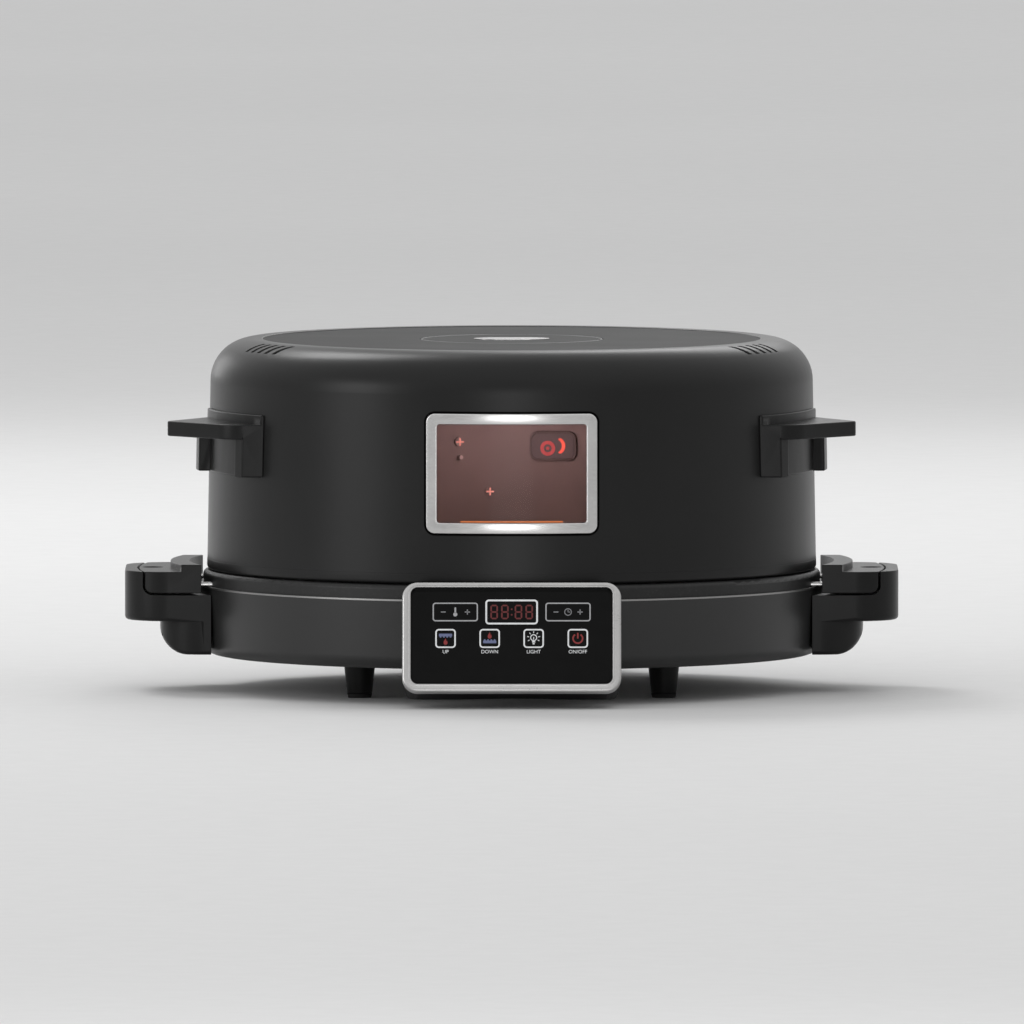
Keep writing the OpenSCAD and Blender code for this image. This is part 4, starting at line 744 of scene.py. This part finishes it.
def digits():
    """Four unlit red digits and a colon behind the glass."""
    ink = Ink("display_digits", DISPLAY_GLOW)
    reach = DIGIT_H / 2 - SEGMENT / 2
    side = DIGIT_W / 2 - SEGMENT / 2
    for x in DIGIT_XS:
        for y in (-reach, 0, reach):
            segment(ink, x, BOX_Y + y, DIGIT_W - SEGMENT - 0.3, False)
        for dx in (-side, side):
            for dy in (-reach / 2, reach / 2):
                segment(ink, x + dx, BOX_Y + dy, reach - 0.3, True)
    for dy in (-1.7, 1.7):
        ink.bar(0, BOX_Y + dy, 1.0, 1.0)
    ink.done()


# Inside of the oven, seen through the window

BACK_WALL_Y = 0.12
RING_SPOT = (-3.1, -1.3)
RING_OUTER, RING_INNER = 4.6, 2.5
DOT_OUTER, DOT_INNER = 1.0, 0.05
CRESCENT_SPOT = (5.6, 0.2)


def crosses():
    """Glowing cross slots on the heads of the two screws in the back wall: a painted glint of the oven light in the
    slots.
    """
    mesh = bmesh.new()
    arm, half = 2.4 * MM, 0.42 * MM
    outline = [
        (half, arm), (half, half), (arm, half), (arm, -half), (half, -half), (half, -arm),
        (-half, -arm), (-half, -half), (-arm, -half), (-arm, half), (-half, half), (-half, arm),
    ]
    for turn, radius, z in screw_spots():
        place = Matrix.Rotation(-turn, 4, "Z") @ Matrix.Translation((0, radius, z))
        front = [mesh.verts.new(place @ Vector((px, -0.2 * MM, pz))) for px, pz in outline]
        back = [mesh.verts.new(place @ Vector((px, 0.3 * MM, pz))) for px, pz in outline]
        mesh.faces.new(front)
        mesh.faces.new(back[::-1])
        for k in range(len(front)):
            after = (k + 1) % len(front)
            mesh.faces.new((front[k], front[after], back[after], back[k]))
    new_piece("liner_screw_painted_glints", mesh, CROSS_PAINTED_GLINT, "lid")


def screw_spots():
    """Turn about the drum axis, distance from it and height of the faces of the two screws in the back wall."""
    solid = nodes["liner_screws"].data
    back = [vert.co for vert in solid.vertices if vert.co.y > BACK_WALL_Y]
    mean_z = sum(co.z for co in back) / len(back)
    spots = []
    for group in ([co for co in back if co.z > mean_z], [co for co in back if co.z <= mean_z]):
        head = min(co.y for co in group)
        near = [co for co in group if co.y < head + 1.5 * MM]
        middle = (min(co.x for co in near) + max(co.x for co in near)) / 2
        turn = math.atan2(middle, head)
        radius = min(co.x * math.sin(turn) + co.y * math.cos(turn) for co in near)
        spots.append((turn, radius, (min(co.z for co in near) + max(co.z for co in near)) / 2))
    return spots


def lamp_face():
    """Glowing ring and dot of the lamp behind its lens, and beside them a glowing crescent that is a painted
    highlight on the lamp's reflector.
    """
    low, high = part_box("lamp_lens")
    centre = (Vector(low) + Vector(high)) / 2
    turn = math.atan2(centre.x, centre.y)
    inward = -Vector((math.sin(turn), math.cos(turn), 0))
    place = Matrix.Translation(centre + inward * 0.9 * MM) @ Matrix.Rotation(-turn, 4, "Z")
    mesh = bmesh.new()
    plate_ring(mesh, place, RING_SPOT, RING_OUTER, RING_INNER)
    plate_ring(mesh, place, RING_SPOT, DOT_OUTER, DOT_INNER)
    new_piece("lamp_ring", mesh, RING_GLOW, "lid")
    mesh = bmesh.new()
    x, z = CRESCENT_SPOT
    bow = [math.radians(-62 + 124 * k / 16) for k in range(17)]
    outer = [(x - 3.2 + 5.4 * math.cos(a), z + 5.4 * math.sin(a)) for a in bow]
    inner = [(x - 4.6 + 4.7 * math.cos(a), z + 4.6 * math.sin(a)) for a in bow]
    plate_band(mesh, place, outer + outer[::-1], inner + inner[::-1])
    new_piece("lamp_crescent_painted_highlight", mesh, CRESCENT_PAINTED_HIGHLIGHT, "lid")


def plate_ring(mesh, place, spot, outer, inner):
    """Flat ring in the lamp's plane, in millimetres."""
    plate_band(mesh, place, circle(*spot, outer), circle(*spot, inner))


def plate_band(mesh, place, outer, inner):
    """Thin band between two outlines of as many points."""
    loops = []
    for outline, back in ((outer, 0.15), (outer, 0.0), (inner, 0.0), (inner, 0.15)):
        loops.append([place @ Vector((px * MM, back * MM, pz * MM)) for px, pz in outline])
    skin_loops(mesh, loops)


def bead(name, radius, z, thick):
    """Round bead about the drum axis, on the top of the lid, in a light grey paint that is a painted highlight of
    the edge it sits on.
    """
    mesh = bmesh.new()
    section = arc_profile((radius, z), thick, 0, 360, 12)[:-1]
    skin_loops(mesh, [[(x, y, high) for x, y in circle(0, 0, out, 192)] for out, high in section])
    smooth(new_piece(name, mesh, BEAD_PAINTED_HIGHLIGHT, "lid"))


def top_beads():
    """Rolled inner edge of the crest, and the bead in the ring groove of the cover, both in light grey paint as a
    painted highlight of the crest edge and of the lit groove walls.
    """
    crest, edge, groove = LID_HIGH[2], 0.5 * MM, 0.5 * MM
    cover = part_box("lid_top_cover")[1]
    bead("crest_bead", cover[0] + 0.3 * MM, crest - edge, edge)
    bead("groove_bead", GROOVE_R, cover[2] - 0.35 * MM, groove)


def lid_hem():
    """Smooth hem over the lid's lower edge."""
    low, lift = LID_LOW[2], 0.12 * MM
    high = low + LID_EDGE_R + 4 * MM
    section = [(lid_wall_radius(high) - lift, high), (lid_wall_radius(high) + lift, high - lift)]
    section += arc_profile((LID_HIGH[0] - LID_EDGE_R, low + LID_EDGE_R), LID_EDGE_R + lift, 0, -90, 8)
    section += [(LID_HIGH[0] - LID_EDGE_R, low + lift)]
    mesh = bmesh.new()
    skin_loops(mesh, [[(x, y, z) for x, y in circle(0, 0, out, 360)] for out, z in section])
    smooth(new_piece("lid_hem", mesh, MATERIALS["body_paint"], "lid"))


# Stage

FLOOR_SHADE = -0.12
FLOOR_HALF = 60.0
HORIZON_LIGHT = 0.55
ZENITH_LIGHT = 1.0
DIFFUSE_LIGHT = 0.72

# Place of each lamp, the point it faces, its height, its power and, if it is wider than tall, its width
LAMPS = {
    "rear_left": ((-1.1, 1.7, 2.5), (0, 0, 0.2), 1.0, 24.0),
    "rear_right": ((0.5, 2.6, 1.6), (0, 0, 0.2), 1.0, 7.0),
    "front_left": ((-2.6, -1.5, 0.7), (0, 0, 0.1), 1.2, 14.0),
    "left_edge": ((-1.5, 2.8, 0.6), (0, 0, 0.15), 0.8, 3.0),
    "front": ((0.0, -4.0, 0.3), (0, 0, 0.15), 0.6, 9.0, 1.1),
}
OVEN_LIGHT_Y = 0.1
OVEN_LIGHT_RISE = 0.075
OVEN_LIGHT_POWER = 0.145
OVEN_LIGHT_COLOUR = (1.0, 0.69, 0.65)
OVEN_LIGHT_SIZE = 0.012


def seen(tree):
    """One for what the camera sees, also in a reflection or through glass, and nought for other light."""
    ray = node(tree, "ShaderNodeLightPath").outputs
    direct = ray["Is Camera Ray"]
    for kind in ("Is Glossy Ray", "Is Transmission Ray"):
        direct = node(tree, "ShaderNodeMath", {0: direct, 1: ray[kind]}, operation="MAXIMUM").outputs[0]
    return direct


def floor():
    """Wide pale floor, a shade darker to the camera so that it keeps under white."""
    mesh = bmesh.new()
    corners = ((-1, -1), (1, -1), (1, 1), (-1, 1))
    mesh.faces.new([mesh.verts.new((x * FLOOR_HALF, y * FLOOR_HALF, 0)) for x, y in corners])
    data = bpy.data.meshes.new("floor")
    mesh.to_mesh(data)
    mesh.free()
    plane = bpy.data.objects.new("floor", data)
    bpy.context.scene.collection.objects.link(plane)
    material = finish_material(
        "floor_paint", [grey(0.3, 0.86), grey(0.7, 0.9)], (0.7, 0.8), 20 * MM, 0.01 * MM, cloud=1.0,
        Specular_IOR_Level=0.1,
    )
    tree = material.node_tree
    colour = tree.nodes["Principled BSDF"].inputs["Base Color"]
    lit = colour.links[0].from_socket
    shown = node(tree, "ShaderNodeBrightContrast", {"Color": lit, "Bright": FLOOR_SHADE}).outputs["Color"]
    mixed = node(tree, "ShaderNodeMix", {"Factor": seen(tree), 6: lit, 7: shown}, data_type="RGBA").outputs[2]
    tree.links.new(mixed, colour)
    data.materials.append(material)


def studio():
    """Plain bright room: paler overhead in reflections, even for matt surfaces."""
    world = bpy.data.worlds.new("studio")
    world.use_nodes = True
    tree = world.node_tree
    height = node(tree, "ShaderNodeTexCoord").outputs["Generated"]
    height = node(tree, "ShaderNodeSeparateXYZ", {"Vector": height}).outputs["Z"]
    shown = between(tree, height, HORIZON_LIGHT, ZENITH_LIGHT, 0.0, 0.8)
    level = node(tree, "ShaderNodeMix", {"Factor": seen(tree), 2: DIFFUSE_LIGHT, 3: shown}).outputs[0]
    background = tree.nodes["Background"]
    background.inputs["Color"].default_value = (1.0, 1.0, 1.0, 1.0)
    tree.links.new(level, background.inputs["Strength"])
    bpy.context.scene.world = world


def soft_lamp(name, place, aim, size, power, wide=None):
    """White lamp that faces a point: square, or wider than tall."""
    data = bpy.data.lights.new(name, "AREA")
    data.shape = "RECTANGLE"
    data.size, data.size_y, data.energy = wide or size, size, power
    lamp = bpy.data.objects.new(name, data)
    lamp.visible_camera = lamp.visible_transmission = False
    lamp.location = place
    lamp.rotation_euler = (Vector(aim) - Vector(place)).to_track_quat("-Z", "Y").to_euler()
    bpy.context.scene.collection.objects.link(lamp)


def oven_light():
    """Warm light inside the lid, near its back wall, which swings with it."""
    data = bpy.data.lights.new("oven_light", "POINT")
    data.energy, data.color, data.shadow_soft_size = OVEN_LIGHT_POWER, OVEN_LIGHT_COLOUR, OVEN_LIGHT_SIZE
    lamp = bpy.data.objects.new("oven_light", data)
    lamp.visible_camera = lamp.visible_transmission = lamp.visible_glossy = False
    lamp.location = (0, OVEN_LIGHT_Y, LID_LOW[2] + OVEN_LIGHT_RISE)
    bpy.context.scene.collection.objects.link(lamp)
    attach(lamp, "lid")


def camera():
    """Long lens, a little above the oven and straight in front of it."""
    data = bpy.data.cameras.new("camera")
    data.sensor_width = SENSOR_WIDTH
    data.lens = SENSOR_WIDTH * CAMERA_DISTANCE / FRAME_WIDTH
    data.clip_end = CAMERA_CLIP_END
    back = Vector((0, -math.cos(CAMERA_ELEVATION), math.sin(CAMERA_ELEVATION)))
    holder = bpy.data.objects.new("camera", data)
    holder.location = CAMERA_AIM + back * CAMERA_DISTANCE
    holder.rotation_euler = (-back).to_track_quat("-Z", "Y").to_euler()
    bpy.context.scene.collection.objects.link(holder)
    bpy.context.scene.camera = holder


# Rounding of the plastic pieces, those that come left and right first
SIDED_EDGES = {
    "lid_handle": {"radius": 0.9 * MM},
    "base_handle": {"radius": 2.4 * MM, "segments": 4, "pocket": 0.15, "rim": 0.3},
    "pan_handle": {"radius": 0.5 * MM},
    "foot_front": {"radius": 0.8 * MM},
    "foot_rear": {"radius": 0.8 * MM},
}
SINGLE_EDGES = {"rear_housing": {"radius": 1.0 * MM}, "panel_housing": {"radius": 0.8 * MM}}


def round_plastic():
    """Rounds the edges of the plastic pieces."""
    for side in ("left", "right"):
        for name, edges in SIDED_EDGES.items():
            rounded_copy(name + "_" + side, **edges)
    for name, edges in SINGLE_EDGES.items():
        rounded_copy(name, **edges)


def main():
    """Dresses the solids, adds the scene's own pieces and sets the stage."""
    bpy.context.scene.view_settings.view_transform = "Standard"
    dress_solids()
    window_frame()
    panel_bezel()
    panel_marks()
    crosses()
    lamp_face()
    sill_glow()
    top_beads()
    lid_hem()
    round_plastic()
    floor()
    studio()
    oven_light()
    for name, setting in LAMPS.items():
        soft_lamp(name, *setting)
    camera()


main()
